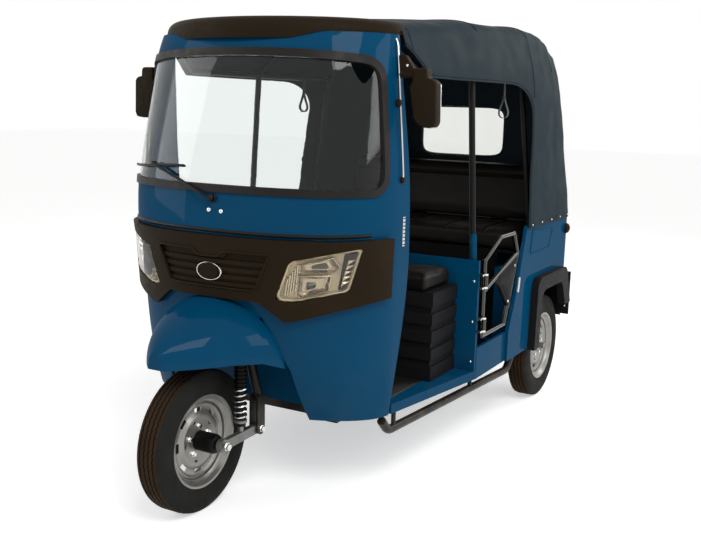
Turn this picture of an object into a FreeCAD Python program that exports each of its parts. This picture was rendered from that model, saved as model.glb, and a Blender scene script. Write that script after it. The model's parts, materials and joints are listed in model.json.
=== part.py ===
import FreeCAD
import Part
import math
import os

# Auto rickshaw: one steered front wheel, two rear wheels, an open cabin.
# Millimetres. Front faces -Y, the vehicle's left is +X, +Z is up.
# Distances along the vehicle are measured back from the front axle, and the
# finished pieces are moved so that the origin is on the ground below the
# middle of the whole vehicle.

V = FreeCAD.Vector
X_AXIS = V(1, 0, 0)
Y_AXIS = V(0, 1, 0)
Z_AXIS = V(0, 0, 1)

# Clearances and overruns
OVERRUN = 60.0
RUNNING_GAP = 0.3
SEAT_GAP = 0.3
SWING_GAP = 6.0
SLIVER = 1.0
TINY = 0.01

# Wheels
WHEELBASE = 1992.0
TYRE_RADIUS = 254.0
TYRE_WIDTH = 104.0
TYRE_BEAD_RADIUS = 158.0
TYRE_SHOULDER_WIDTH = 20.0
TYRE_SHOULDER_DROP = 18.0
RIM_WIDTH = 96.0
RIM_WALL = 5.0
DISC_THICKNESS = 8.0
DISC_OFFSET = 12.0
WINDOW_RING_RADIUS = 104.0
WINDOW_RADIUS = 9.0
WINDOW_COUNT = 10
DRUM_RADIUS = 82.0
DRUM_WIDTH = 44.0
HUB_RADIUS = 30.0
HUB_WIDTH = 118.0
FRONT_PIN_RADIUS = 9.0
PIN_CLEARANCE = 0.05
REAR_TRACK_HALF = 561.0
REAR_SPINDLE_RADIUS = 14.0
WHEEL_HEIGHT = TYRE_RADIUS

# Front shell: plan curves from nose to door pillar
SHELL_HALF_WIDTH = 537.0
SHELL_DEPTH = 402.0
SHELL_REAR = 492.0
SHELL_BOTTOM = 303.0
WAIST = 980.0
HEADER_TOP = 1662.0
SHELL_WALL = 20.0
CURVE_POINTS = 15

# Each row: height share, half-width share, depth share, pillar setback share, curve power share
LOWER_SHARES = [
    (0.00, 0.960, 0.650, 0.030, 1.95),
    (0.44, 0.987, 0.905, 0.020, 2.10),
    (0.73, 0.996, 0.955, 0.008, 2.20),
    (1.00, 1.000, 0.990, 0.000, 2.40),
]
UPPER_SHARES = [
    (0.00, 1.000, 1.000, 0.000, 2.45),
    (0.19, 0.998, 0.965, -0.010, 2.60),
    (0.38, 0.992, 0.915, -0.015, 2.55),
    (0.56, 0.978, 0.865, -0.020, 2.40),
    (0.78, 0.956, 0.800, -0.025, 2.25),
    (0.92, 0.940, 0.750, -0.030, 2.10),
    (1.00, 0.927, 0.700, -0.035, 2.00),
]

# Door pillar flange behind each shell, one reach share for each row above
FLANGE_STEP = 1.5
FLANGE_LAP = 8.0
LOWER_FLANGE_SHARES = [0.000, 0.127, 0.180, 0.168]
UPPER_FLANGE_SHARES = [0.168, 0.149, 0.112, 0.075, 0.030, 0.006, 0.000]

# Wheel opening in the lower shell, seen from the front
ARCH_FOOT_HALF = 312.0
ARCH_MID_HALF = 276.0
ARCH_MID_HEIGHT = 500.0
ARCH_TOP_HALF = 190.0
ARCH_HEADROOM = 100.0

# Black mask across the nose
MASK_PROUD = 24.0
MASK_TOP = 968.0
MASK_CENTRE_BOTTOM = 750.0
MASK_WING_BOTTOM = 686.0
MASK_END_BOTTOM = 772.0
MASK_CENTRE_HALF = 190.0
MASK_WING_HALF = 300.0
MASK_STEP_SHARE = 0.8
MASK_REAR = 405.0
GRILLE_TOP = 915.0
GRILLE_BOTTOM = 790.0
GRILLE_TOP_HALF = 236.0
GRILLE_BOTTOM_HALF = 180.0
GRILLE_NOTCH_HALF = 64.0
GRILLE_NOTCH_STEP = 20.0
GRILLE_DEPTH = 13.0
SLAT_COUNT = 4
SLAT_HEIGHT = 14.0
SLAT_START_SHARE = 0.25
SLAT_LIFT = 8.0
BADGE_HALF_WIDTH = 40.0
BADGE_HALF_HEIGHT = 29.0
BADGE_DEPTH = 8.0

# Headlamps, seen from the front
LAMP_INNER_LOW = (252.0, 766.0)
LAMP_INNER_HIGH = (302.0, 898.0)
LAMP_OUTER_HIGH = (505.0, 944.0)
LAMP_OUTER_LOW = (468.0, 795.0)
LAMP_LOW = (300.0, 756.0)
LAMP_PROUD = 20.0
LAMP_DEPTH = SHELL_WALL

# Windscreen, seen from the side
SCREEN_BOTTOM = 1114.0
SCREEN_TOP_FRONT = 1618.0
SCREEN_TOP_REAR = 1578.0
SCREEN_REAR_LOW = 392.0
SCREEN_REAR_HIGH = 410.0
SCREEN_CORNER = 78.0
SEAL_WIDTH = 26.0
SEAL_PROUD = 7.0
SEAL_DEPTH = 12.0
GLASS_DEPTH = 4.0
GLASS_THICKNESS = 6.0

# Front mudguard: arches from the shell to the tip
# Each row: distance share from shell to tip, half-width share, crown share, lip share
GUARD_START = 215.0
GUARD_TIP = -202.0
GUARD_HALF_WIDTH = 268.0
GUARD_CROWN = 758.0
GUARD_TIP_CROWN = 606.0
GUARD_LIP = 552.0
GUARD_FOOT = 478.0
GUARD_WALL = 6.0
GUARD_SHARES = [
    (0.00, 1.00, 1.00, 1.00),
    (0.20, 0.93, 0.96, 0.55),
    (0.36, 0.83, 0.88, 0.12),
    (0.54, 0.68, 0.72, 0.00),
    (0.72, 0.50, 0.51, 0.00),
    (0.88, 0.30, 0.28, 0.00),
    (1.00, 0.11, 0.05, 0.00),
]
GUARD_POWER = 2.2

# Roof visor above the windscreen
VISOR_BOTTOM = 1638.0
VISOR_TOP = 1712.0
VISOR_INSET = 37.0
VISOR_HALF_WIDTH = SHELL_HALF_WIDTH - VISOR_INSET
VISOR_FRONT = 196.0
VISOR_REAR = 560.0
VISOR_HUMP = 10.0
VISOR_POWER = 1.9
VISOR_SHARES = [1.0, 0.96, 0.90]

# Floor
FLOOR_Z = 340.0
FLOOR_THICKNESS = 12.0
FLOOR_AHEAD = 312.0
FLOOR_REAR = WHEELBASE - FLOOR_AHEAD
SILL_INSET = 17.0
SILL_FRONT_HALF = SHELL_HALF_WIDTH - SILL_INSET
SILL_REAR_HALF = 612.0
SILL_HEIGHT = FLOOR_Z - SHELL_BOTTOM
SILL_WALL = 14.0
PASSENGER_SILL_TOP = 436.0
BULKHEAD_REAR = 345.0
BULKHEAD_HALF = 322.0
BULKHEAD_WALL = 6.0
BULKHEAD_KNEE = 640.0
BULKHEAD_TOP = 735.0

# Partition between driver and passengers
PARTITION_BEHIND = 94.0
PARTITION_REAR = WHEELBASE / 2 + PARTITION_BEHIND
PARTITION_THICKNESS = 18.0
PARTITION_HALF = 610.0
PARTITION_TOP = 805.0

# Driver's seat
SEAT_BASE_DEPTH = 260.0
SEAT_BASE_FRONT = PARTITION_REAR - SEAT_BASE_DEPTH
SEAT_BASE_HALF = 520.0
SEAT_BASE_TOP = 700.0
SEAT_RIDGE_COUNT = 4
SEAT_RIDGE_DEPTH = 9.0
SEAT_RIDGE_HEIGHT = 26.0
CUSHION_OVERHANG = 30.0
CUSHION_FRONT = SEAT_BASE_FRONT - CUSHION_OVERHANG
CUSHION_HALF = 512.0
CUSHION_THICKNESS = 72.0
CUSHION_CORNER = 24.0

# Passenger seat
BENCH_AHEAD = 337.0
BENCH_FRONT = WHEELBASE - BENCH_AHEAD
BENCH_TOP = 770.0
BENCH_HALF = 470.0
BENCH_SEAT_HALF = 600.0
BENCH_WALL = 14.0
BENCH_CUSHION_FRONT = BENCH_FRONT - CUSHION_OVERHANG
BENCH_CUSHION_DEPTH = 525.0
BENCH_CUSHION_REAR = BENCH_CUSHION_FRONT + BENCH_CUSHION_DEPTH
BENCH_CUSHION_THICKNESS = 92.0
BENCH_DEPTH = 560.0
BENCH_REAR = BENCH_FRONT + BENCH_DEPTH
BACKREST_LAP = 110.0
BACKREST_FRONT = BENCH_CUSHION_REAR - BACKREST_LAP
BACKREST_THICKNESS = 95.0
BACKREST_BOTTOM = BENCH_TOP + BENCH_CUSHION_THICKNESS + RUNNING_GAP
BACKREST_TOP = 1160.0
BACKREST_HALF = 560.0
BACKREST_LEAN = 65.0

# Rear body
REAR_HALF = 626.0
REAR_OVERHANG = 298.0
REAR_END = WHEELBASE + REAR_OVERHANG
REAR_WALL = 16.0
REAR_CORNER = 70.0
HEM_FRONT = 896.0
HEM_REAR = 878.0
OPENING_FOOT_AHEAD = 564.0
OPENING_FOOT = WHEELBASE - OPENING_FOOT_AHEAD
OPENING_MID_AHEAD = 468.0
OPENING_MID = WHEELBASE - OPENING_MID_AHEAD
OPENING_MID_Z = 635.0
OPENING_HEM_AHEAD = 381.0
OPENING_HEM = WHEELBASE - OPENING_HEM_AHEAD
REAR_BOTTOM = 360.0
TUB_HALF = 478.0
TUB_AHEAD = 376.0
TUB_FRONT = WHEELBASE - TUB_AHEAD
TUB_TOP = 690.0
TUB_WALL = 8.0
ARCH_AHEAD = 222.0
ARCH_FRONT = WHEELBASE - ARCH_AHEAD
ARCH_BEHIND = 318.0
ARCH_REAR = WHEELBASE + ARCH_BEHIND
ARCH_SLOPE = 15.0
ARCH_SHOULDER = ARCH_FRONT + ARCH_SLOPE
ARCH_REAR_SLOPE = 210.0
ARCH_REAR_SHOULDER = ARCH_REAR - ARCH_REAR_SLOPE
ARCH_HEIGHT = 572.0
ARCH_CORNER = 60.0
FLARE_WIDTH = 68.0
FLARE_PROUD = 36.0
FLARE_FOOT = 296.0
FLARE_REAR_FOOT = 440.0
ARCH_RELIEF = 56.0
MUD_PANEL_INNER = 490.0
MUD_PANEL_INSET = 56.0
MUD_PANEL_FRONT = REAR_END - MUD_PANEL_INSET
MUD_PANEL_THICKNESS = 8.0
MUD_PANEL_BOTTOM = 376.0
MUD_PANEL_TOP = 600.0

# Number plate holes below the lid
PLATE_SPACING = 180.0
PLATE_HOLE_RADIUS = 3.25
PLATE_Z = 442.0

# Rear lid
LID_HALF = 470.0
LID_BOTTOM = 470.0
LID_TOP = 840.0
LID_GAP = 6.0
LID_THICKNESS = 16.0
LID_HINGE_RADIUS = 7.0
LID_PIN_RADIUS = 3.5
LID_KNUCKLE = 60.0
LID_EAR = 12.0
LID_HINGE_BACK = 3.0
LID_HINGE_Y = REAR_END + LID_HINGE_RADIUS + LID_HINGE_BACK / 2
LID_HINGE_Z = LID_TOP + LID_GAP / 2

# Canopy: cross sections from windscreen header to tail
# Each row: distance share, hem width share, shoulder width share, crown drop share
CANOPY_FRONT = 520.0
CANOPY_OVERHANG = 10.0
CANOPY_REAR = REAR_END + CANOPY_OVERHANG
CANOPY_CROWN = 1794.0
CANOPY_HEM_HALF = 632.0
CANOPY_SHOULDER_HALF = 590.0
CANOPY_SHOULDER_Z = 1500.0
CANOPY_EDGE_HALF = 500.0
CANOPY_EDGE_Z = 1771.0
CANOPY_WALL = 9.0
FLANK_SHARE = 0.55
EDGE_TURN_SHARE = 0.38
EDGE_RISE_SHARE = 0.62
CROWN_RISE_SHARE = 0.72
SHOULDER_RISE = 70.0
CANOPY_SHARES = [
    (0.000, 0.930, 0.930, 0.35),
    (0.150, 0.960, 0.960, 0.23),
    (0.330, 0.990, 0.990, 0.10),
    (0.500, 1.000, 1.000, 0.05),
    (0.660, 1.000, 1.000, 0.00),
    (0.775, 1.000, 0.995, 0.00),
    (0.865, 1.000, 0.975, 0.18),
    (0.930, 1.000, 0.950, 0.33),
    (0.965, 0.994, 0.925, 0.46),
    (0.988, 0.958, 0.890, 0.64),
    (1.000, 0.905, 0.840, 0.88),
]
CANOPY_DROP = 210.0
DOOR_CUT_TOP = 1522.0
DOOR_CUT_FRONT_TOP = 1625.0
DOOR_CUT_DIAGONAL = 655.0
DOOR_CUT_STEP = 79.0
DOOR_CUT_REAR = OPENING_HEM + DOOR_CUT_STEP
DOOR_CUT_CORNER = 100.0
BACK_WINDOW_HALF = 232.0
BACK_WINDOW_BOTTOM = 1170.0
BACK_WINDOW_TOP = 1420.0
BACK_WINDOW_CORNER = 40.0

# Canopy frame
BOW_RADIUS = 12.0
POLE_RADIUS = 13.0
POLE_FOOT_HALF = 566.0
POLE_BEHIND = 28.0
POLE_Y = PARTITION_REAR + POLE_BEHIND
RAIL_TOP_HALF = 522.0
TOP_RAIL_Z = 1540.0
TOP_RAIL_INSET = 59.0
TOP_RAIL_FRONT_HALF = SHELL_HALF_WIDTH - TOP_RAIL_INSET
TOP_RAIL_FRONT_STEP = 22.0
TOP_RAIL_FRONT_Z = 1622.0
BOW_BEHIND = 30.0
BOW_REAR = DOOR_CUT_REAR + BOW_BEHIND
BOW_CROWN_Z = 1712.0
BOW_REAR_RISE = 28.0
BOW_SHOULDER_SHARE = 0.72
BOW_FOOT_HALF = REAR_HALF - REAR_WALL - BOW_RADIUS
BOW_FOOT_Z = 870.0

# Chassis
RAIL_HALF = 330.0
RAIL_WIDTH = 50.0
RAIL_HEIGHT = 60.0
RAIL_FRONT = 380.0
RAIL_INSET = 30.0
RAIL_REAR = REAR_END - RAIL_INSET
RAIL_TOP = FLOOR_Z - FLOOR_THICKNESS
CROSS_WIDTH = 45.0
CROSS_SHARES = [0.02, 0.30, 0.62]
ENGINE_CROSS_AHEAD = [422.05, 55.05]
OUTRIGGER_SHARES = [0.08, 0.42]
OUTRIGGER_WIDTH = 40.0
OUTRIGGER_HEIGHT = 30.0
TOWER_TOP = 590.0
TOWER_PLATE = 12.0
TOW_PLATE_THICKNESS = 12.0
TOW_PLATE_HALF = 28.0
TOW_PLATE_REACH = 52.0
TOW_BORE_RADIUS = 11.0
HEAD_TUBE_RADIUS = 26.0
HEAD_TUBE_LENGTH = 150.0
DOWN_TUBE_RADIUS = 26.0

# Steering
RAKE_DEG = 27.0
CROWN_Y = 116.0
CROWN_Z = 590.0
ARCH_TOP_HEIGHT = CROWN_Z + ARCH_HEADROOM
CROWN_HALF = 132.0
CROWN_WIDTH = 56.0
CROWN_THICKNESS = 26.0
STEM_RADIUS = 17.0
STEM_LENGTH = 505.0
LEG_RADIUS = 17.0
LEG_HALF = 120.0
PIVOT_Y = 208.0
PIVOT_Z = 258.0
PIVOT_RADIUS = 22.0
LUG_HEIGHT = 110.0
LUG_THICKNESS = 9.0
LINK_HEIGHT = 34.0
LINK_THICKNESS = 20.0
AXLE_BOSS_SHARE = 0.68
SHOCK_TOP_Y = 104.0
SHOCK_BOTTOM_Y = 108.0
SHOCK_BOTTOM_SHARE = 0.16
SHOCK_TOP_SHARE = 0.84
SHOCK_SPRING_RADIUS = 23.0
SHOCK_ROD_RADIUS = 11.0
BAR_HALF = 290.0
BAR_RADIUS = 12.0
BAR_SWEEP = 130.0
BAR_SWEEP_SHARE = 0.7
BAR_SHOULDER_SHARE = 0.33
BAR_RISE = 30.0
GRIP_RADIUS = 17.0
GRIP_LENGTH = 120.0

# Doors
DOOR_X = 614.0
DOOR_BEHIND = 34.0
DOOR_FRONT = PARTITION_REAR + DOOR_BEHIND
DOOR_TUBE_RADIUS = 10.0
DOOR_BOTTOM = 482.0
DOOR_KNEE_Z = 802.0
DOOR_TOP = 880.0
DOOR_FRONT_TOP_SHARE = 0.52071
DOOR_REAR_SLOPE = 58.0
DOOR_END_GAP = 4.0
DOOR_REAR = OPENING_MID - DOOR_END_GAP
DOOR_REAR_TOP = DOOR_REAR - DOOR_REAR_SLOPE
DOOR_FRONT_TOP = DOOR_FRONT + (DOOR_REAR_TOP - DOOR_FRONT) * DOOR_FRONT_TOP_SHARE
DOOR_REAR_Z = 785.0
DOOR_FOOT_GAP = 42.0
DOOR_FOOT_REAR = OPENING_FOOT - DOOR_FOOT_GAP
DOOR_BRACE_Z = 670.0
DOOR_BRACE_SHARE = 0.9
DOOR_PANEL_SHARE = 0.35
DOOR_PANEL_FOOT_SHARE = 0.7
DOOR_PANEL_STEP_SHARE = 0.55
DOOR_PANEL_THICKNESS = 16.0
DOOR_HINGES_Z = [720.0, 536.0]
HINGE_X = 630.0
HINGE_BEHIND = 16.0
HINGE_Y = PARTITION_REAR + HINGE_BEHIND
HINGE_LENGTH = 46.0
HINGE_EAR = 8.0
HINGE_PIN_RADIUS = 5.0
HINGE_BARREL_RADIUS = 9.0
HINGE_LEAF_RADIUS = 6.0

# Step bars
STEP_RADIUS = 17.0
STEP_HANGER_RADIUS = 9.0
STEP_Z = 232.0
STEP_FRONT_Y = 455.0
STEP_REAR_AHEAD = 402.0
STEP_REAR_Y = WHEELBASE - STEP_REAR_AHEAD
STEP_FRONT_HALF = 500.0
STEP_REAR_HALF = 585.0
STEP_RISE = 52.0
STEP_BEND = 60.0

# Mirrors
MIRROR_REACH = 76.0
MIRROR_HALF = SHELL_HALF_WIDTH + MIRROR_REACH
MIRROR_Y = 481.0
MIRROR_Z = 1460.0
MIRROR_WIDTH = 112.0
MIRROR_HEIGHT = 180.0
MIRROR_THICKNESS = 46.0
MIRROR_ARM_RADIUS = 9.0
MIRROR_ARM_Z = 1575.0

# Wiper, parked low across the right of the screen
WIPER_PIVOT_Z = 1092.0
WIPER_TIP_X = -285.0
WIPER_TIP_Z = 1192.0
WIPER_TIP_BACK = 44.0
WIPER_BLADE_HALF = 150.0
WIPER_LEFT_BACK = 120.0
WIPER_RIGHT_BACK = 12.0
WIPER_RADIUS = 6.0
WIPER_STAND_OFF = 14.0

# Lamps, bumper, engine and axle at the back
TAIL_LAMP_INNER = 508.0
TAIL_LAMP_BOTTOM = 620.0
TAIL_LAMP_TOP = 850.0
TAIL_LAMP_PROUD = 14.0
TAIL_LAMP_INSET = 26.0
BUMPER_REACH = 85.0
BUMPER_REAR = REAR_END + BUMPER_REACH
BUMPER_Z = 400.0
BUMPER_RADIUS = 19.0
BUMPER_HALF = 592.0
ENGINE_LENGTH = 420.0
ENGINE_WIDTH = 380.0
ENGINE_HEIGHT = 280.0
ENGINE_AHEAD = 177.0
ENGINE_FRONT = WHEELBASE - ENGINE_AHEAD
ENGINE_PAD_HEIGHT = 26.0
AXLE_RADIUS = 30.0
DIFF_RADIUS = 92.0
DIFF_WIDTH = 150.0
ARM_RADIUS = 20.0
ARM_HALF = 400.0
ARM_AHEAD = 412.0
ARM_FRONT = WHEELBASE - ARM_AHEAD
DAMPER_RADIUS = 26.0
DAMPER_HALF = 430.0

# Dashboard
DASH_BOTTOM = 890.0
DASH_TOP = 978.0
DASH_DEPTH = 130.0
DASH_INSET = 47.0
DASH_HALF = SHELL_HALF_WIDTH - DASH_INSET

# Straps
STRAP_AHEAD = 205.0
STRAP_Y = DOOR_CUT_REAR - STRAP_AHEAD
STRAP_LENGTH = 130.0
STRAP_WIDTH = 24.0
STRAP_THICKNESS = 5.0

# The origin lies half way between the front of the front tyre and the bumper's back
ORIGIN_BACK = (BUMPER_REAR - TYRE_RADIUS) / 2


def mix(start, end, share):
    return start + (end - start) * share


def box(x0, x1, y0, y1, z0, z1):
    return Part.makeBox(x1 - x0, y1 - y0, z1 - z0, V(x0, y0, z0))


def rod(start, end, radius):
    direction = end.sub(start)
    return Part.makeCylinder(radius, direction.Length, start, direction)


def mirrored(shape):
    return shape.mirror(V(0, 0, 0), X_AXIS)


def pair(shape):
    return Part.makeCompound([shape, mirrored(shape)])


def fused(shapes):
    whole = shapes[0].multiFuse(shapes[1:])
    return whole.removeSplitter()


def cleaned(shape):
    solids = shape.Solids
    if len(solids) == 1:
        return solids[0]
    return Part.makeCompound(solids)


def polygon(points):
    return Part.makePolygon(points + [points[0]])


# Start, middle and end of the arc that rounds one corner
def corner_arc(before, here, after, radius):
    if radius == 0:
        return here, here, here
    back_dir = before.sub(here).normalize()
    on_dir = after.sub(here).normalize()
    half = back_dir.getAngle(on_dir) / 2
    reach = radius / math.tan(half)
    start = here.add(V(back_dir).multiply(reach))
    end = here.add(V(on_dir).multiply(reach))
    middle_dir = back_dir.add(on_dir).normalize()
    middle = here.add(middle_dir.multiply(radius / math.sin(half) - radius))
    return start, middle, end


# Closed outline with its corners rounded to arcs: each corner is (point, radius)
def rounded_wire(corners):
    count = len(corners)
    turns = []
    for i in range(count):
        here, radius = corners[i]
        turns.append(corner_arc(corners[i - 1][0], here, corners[(i + 1) % count][0], radius))
    edges = []
    for i in range(count):
        start, middle, end = turns[i]
        following = turns[(i + 1) % count][0]
        if end.sub(start).Length > TINY:
            edges.append(Part.Arc(start, middle, end).toShape())
        if following.sub(end).Length > TINY:
            edges.append(Part.LineSegment(end, following).toShape())
    return Part.Wire(edges)


# Outline in the front view (x, z), pushed right through along Y
def front_prism(points, y0, y1):
    wire = polygon([V(x, y0, z) for x, z in points])
    return Part.Face(wire).extrude(V(0, y1 - y0, 0))


# Outline in the side view (distance back, z), pushed right through along X
def side_prism(corners, half):
    wire = rounded_wire([(V(-half, y, z), radius) for y, z, radius in corners])
    return Part.Face(wire).extrude(V(2 * half, 0, 0))


def bent_tube(points, radius, bend):
    edges = []
    last = points[0]
    for i in range(1, len(points) - 1):
        start, middle, end = corner_arc(points[i - 1], points[i], points[i + 1], bend)
        edges.append(Part.LineSegment(last, start).toShape())
        edges.append(Part.Arc(start, middle, end).toShape())
        last = end
    edges.append(Part.LineSegment(last, points[-1]).toShape())
    path = Part.Wire(edges)
    direction = points[1].sub(points[0])
    profile = Part.Wire(Part.makeCircle(radius, points[0], direction))
    return path.makePipeShell([profile], True, True)


# Plan curve of the front shell at one height, with a straight run behind it for cutters
def plan_wire(z, half, front, rear, power, tail):
    points = []
    for i in range(CURVE_POINTS):
        angle = mix(-math.pi / 2, math.pi / 2, i / (CURVE_POINTS - 1))
        across = abs(math.sin(angle)) ** (2 / power)
        along = max(math.cos(angle), 0) ** (2 / power)
        x = math.copysign(half * across, math.sin(angle))
        points.append(V(x, rear - (rear - front) * along, z))
    curve = Part.BSplineCurve()
    curve.interpolate(points)
    corners = [points[-1], points[0]]
    if tail > 0:
        left = V(half, rear + tail, z)
        right = V(-half, rear + tail, z)
        corners = [points[-1], left, right, points[0]]
    edges = [curve.toShape()]
    for first, second in zip(corners, corners[1:]):
        edges.append(Part.LineSegment(first, second).toShape())
    return Part.Wire(edges)


def shell_solid(shares, bottom, top, grow, tail):
    wires = []
    for level, width, depth, setback, power in shares:
        rear = SHELL_REAR - setback * SHELL_DEPTH
        front = rear - SHELL_DEPTH * depth - grow
        half = SHELL_HALF_WIDTH * width + grow
        z = mix(bottom, top, level)
        curve_rear = rear - SHELL_WALL if tail > 0 else rear
        wires.append(plan_wire(z, half, front, curve_rear, power, tail))
    return Part.makeLoft(wires, True, False)


def lower_solid(grow, tail=0.0):
    return shell_solid(LOWER_SHARES, SHELL_BOTTOM, WAIST, grow, tail)


def upper_solid(grow, tail=0.0):
    return shell_solid(UPPER_SHARES, WAIST, HEADER_TOP, grow, tail)


# Strips that carry the shell's side on back to the doorway, lapped into the wall
def pillar_flange(shares, reaches, bottom, top):
    wires = []
    for (level, width, depth, setback, power), reach in zip(shares, reaches):
        rear = SHELL_REAR - setback * SHELL_DEPTH
        outer = SHELL_HALF_WIDTH * width - FLANGE_STEP
        inner = SHELL_HALF_WIDTH * width - SHELL_WALL + FLANGE_STEP
        z = mix(bottom, top, level)
        wires.append(polygon([
            V(inner, rear - FLANGE_LAP, z),
            V(outer, rear - FLANGE_LAP, z),
            V(outer, rear + reach * SHELL_DEPTH, z),
            V(inner, rear + reach * SHELL_DEPTH, z),
        ]))
    strip = Part.makeLoft(wires, True, False)
    return [strip, mirrored(strip)]


def lamp_outline():
    return [LAMP_INNER_LOW, LAMP_INNER_HIGH, LAMP_OUTER_HIGH, LAMP_OUTER_LOW, LAMP_LOW]


def lamp_cutter():
    left = front_prism(lamp_outline(), -OVERRUN, SHELL_REAR)
    return Part.makeCompound([left, mirrored(left)])


def lower_front_shell():
    wall = lower_solid(0).cut(lower_solid(-SHELL_WALL, OVERRUN))
    arch = [
        (-ARCH_FOOT_HALF, SHELL_BOTTOM - OVERRUN),
        (-ARCH_MID_HALF, ARCH_MID_HEIGHT),
        (-ARCH_TOP_HALF, ARCH_TOP_HEIGHT),
        (ARCH_TOP_HALF, ARCH_TOP_HEIGHT),
        (ARCH_MID_HALF, ARCH_MID_HEIGHT),
        (ARCH_FOOT_HALF, SHELL_BOTTOM - OVERRUN),
    ]
    wall = wall.cut(front_prism(arch, -OVERRUN, SHELL_REAR + OVERRUN))
    wall = wall.cut(lamp_cutter())
    flange = pillar_flange(LOWER_SHARES, LOWER_FLANGE_SHARES, SHELL_BOTTOM, WAIST)
    return cleaned(fused([wall] + flange))


def mask_outline():
    right = [
        (SHELL_HALF_WIDTH + OVERRUN, MASK_TOP),
        (SHELL_HALF_WIDTH + OVERRUN, MASK_END_BOTTOM),
        (MASK_WING_HALF, MASK_WING_BOTTOM),
        (mix(MASK_CENTRE_HALF, MASK_WING_HALF, MASK_STEP_SHARE), MASK_WING_BOTTOM),
        (MASK_CENTRE_HALF, MASK_CENTRE_BOTTOM),
    ]
    left = [(-x, z) for x, z in reversed(right)]
    return right + left


def grille_outline():
    notch_top = GRILLE_TOP - GRILLE_NOTCH_STEP
    return [
        (-GRILLE_BOTTOM_HALF, GRILLE_BOTTOM),
        (-GRILLE_TOP_HALF, GRILLE_TOP),
        (-GRILLE_NOTCH_HALF - GRILLE_NOTCH_STEP, GRILLE_TOP),
        (-GRILLE_NOTCH_HALF, notch_top),
        (GRILLE_NOTCH_HALF, notch_top),
        (GRILLE_NOTCH_HALF + GRILLE_NOTCH_STEP, GRILLE_TOP),
        (GRILLE_TOP_HALF, GRILLE_TOP),
        (GRILLE_BOTTOM_HALF, GRILLE_BOTTOM),
    ]


def front_mask():
    skin = lower_solid(MASK_PROUD).cut(lower_solid(SEAT_GAP, OVERRUN))
    skin = skin.common(front_prism(mask_outline(), -OVERRUN, MASK_REAR))
    recess = lower_solid(MASK_PROUD + OVERRUN).cut(lower_solid(MASK_PROUD - GRILLE_DEPTH, OVERRUN))
    recess = recess.common(front_prism(grille_outline(), -OVERRUN, MASK_REAR))
    skin = skin.cut(recess)
    skin = skin.cut(lamp_cutter())
    slat_layer = lower_solid(MASK_PROUD - GRILLE_DEPTH + SLAT_LIFT)
    slat_layer = slat_layer.cut(lower_solid(MASK_PROUD - GRILLE_DEPTH - SLIVER, OVERRUN))
    pitch = (GRILLE_TOP - GRILLE_NOTCH_STEP - GRILLE_BOTTOM) / SLAT_COUNT
    grown = [skin]
    for i in range(SLAT_COUNT):
        low = GRILLE_BOTTOM + pitch * i + SLAT_HEIGHT * SLAT_START_SHARE
        half = mix(GRILLE_BOTTOM_HALF, GRILLE_TOP_HALF, i / SLAT_COUNT)
        slat = slat_layer.common(box(-half, half, -OVERRUN, SHELL_REAR, low, low + SLAT_HEIGHT))
        grown.append(slat)
    badge_z = (GRILLE_TOP - GRILLE_NOTCH_STEP + GRILLE_BOTTOM) / 2
    badge_wire = Part.Wire(Part.Ellipse(V(0, 0, 0), BADGE_HALF_WIDTH, BADGE_HALF_HEIGHT).toShape())
    badge = Part.Face(badge_wire).extrude(V(0, 0, OVERRUN * 2))
    badge.rotate(V(0, 0, 0), X_AXIS, 90)
    badge.translate(V(0, OVERRUN * 2, badge_z))
    layer = lower_solid(MASK_PROUD - GRILLE_DEPTH + BADGE_DEPTH + SLAT_LIFT)
    layer = layer.cut(lower_solid(MASK_PROUD - GRILLE_DEPTH - SLIVER, OVERRUN))
    grown.append(badge.common(layer))
    return cleaned(fused(grown))


def headlamps():
    body = lower_solid(LAMP_PROUD).cut(lower_solid(-LAMP_DEPTH, OVERRUN))
    left = body.common(front_prism(lamp_outline(), -OVERRUN, SHELL_REAR))
    return pair(cleaned(left))


# Side view outline of the windscreen opening, drawn in by the given inset
def screen_cutter(inset):
    corners = [
        (-OVERRUN * 2, SCREEN_BOTTOM + inset, 0),
        (SCREEN_REAR_LOW - inset, SCREEN_BOTTOM + inset, SCREEN_CORNER - inset),
        (SCREEN_REAR_HIGH - inset, SCREEN_TOP_REAR - inset, SCREEN_CORNER - inset),
        (-OVERRUN * 2, SCREEN_TOP_FRONT + OVERRUN / 2 - inset, 0),
    ]
    return side_prism(corners, SHELL_HALF_WIDTH + OVERRUN)


def upper_front_shell():
    wall = upper_solid(0).cut(upper_solid(-SHELL_WALL, OVERRUN))
    wall = wall.cut(screen_cutter(0))
    flange = pillar_flange(UPPER_SHARES, UPPER_FLANGE_SHARES, WAIST, HEADER_TOP)
    return cleaned(fused([wall] + flange))


def windscreen_seal():
    ring = upper_solid(SEAL_PROUD).cut(upper_solid(-SEAL_DEPTH, OVERRUN))
    ring = ring.common(screen_cutter(0).cut(screen_cutter(SEAL_WIDTH)))
    return cleaned(ring)


def windscreen_glass():
    pane = upper_solid(-GLASS_DEPTH).cut(upper_solid(-GLASS_DEPTH - GLASS_THICKNESS, OVERRUN))
    return cleaned(pane.common(screen_cutter(SEAL_WIDTH)))


def guard_arch(place, half, crown, lip):
    points = []
    for i in range(CURVE_POINTS):
        angle = mix(0, math.pi, i / (CURVE_POINTS - 1))
        across = abs(math.cos(angle)) ** (2 / GUARD_POWER)
        up = max(math.sin(angle), 0) ** (2 / GUARD_POWER)
        x = math.copysign(half * across, math.cos(angle))
        points.append(V(x, place, lip + (crown - lip) * up))
    curve = Part.BSplineCurve()
    curve.interpolate(points)
    low = lip - OVERRUN
    corners = [points[-1], V(-half, place, low), V(half, place, low), points[0]]
    edges = [curve.toShape()]
    for first, second in zip(corners, corners[1:]):
        edges.append(Part.LineSegment(first, second).toShape())
    return Part.Wire(edges)


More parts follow.
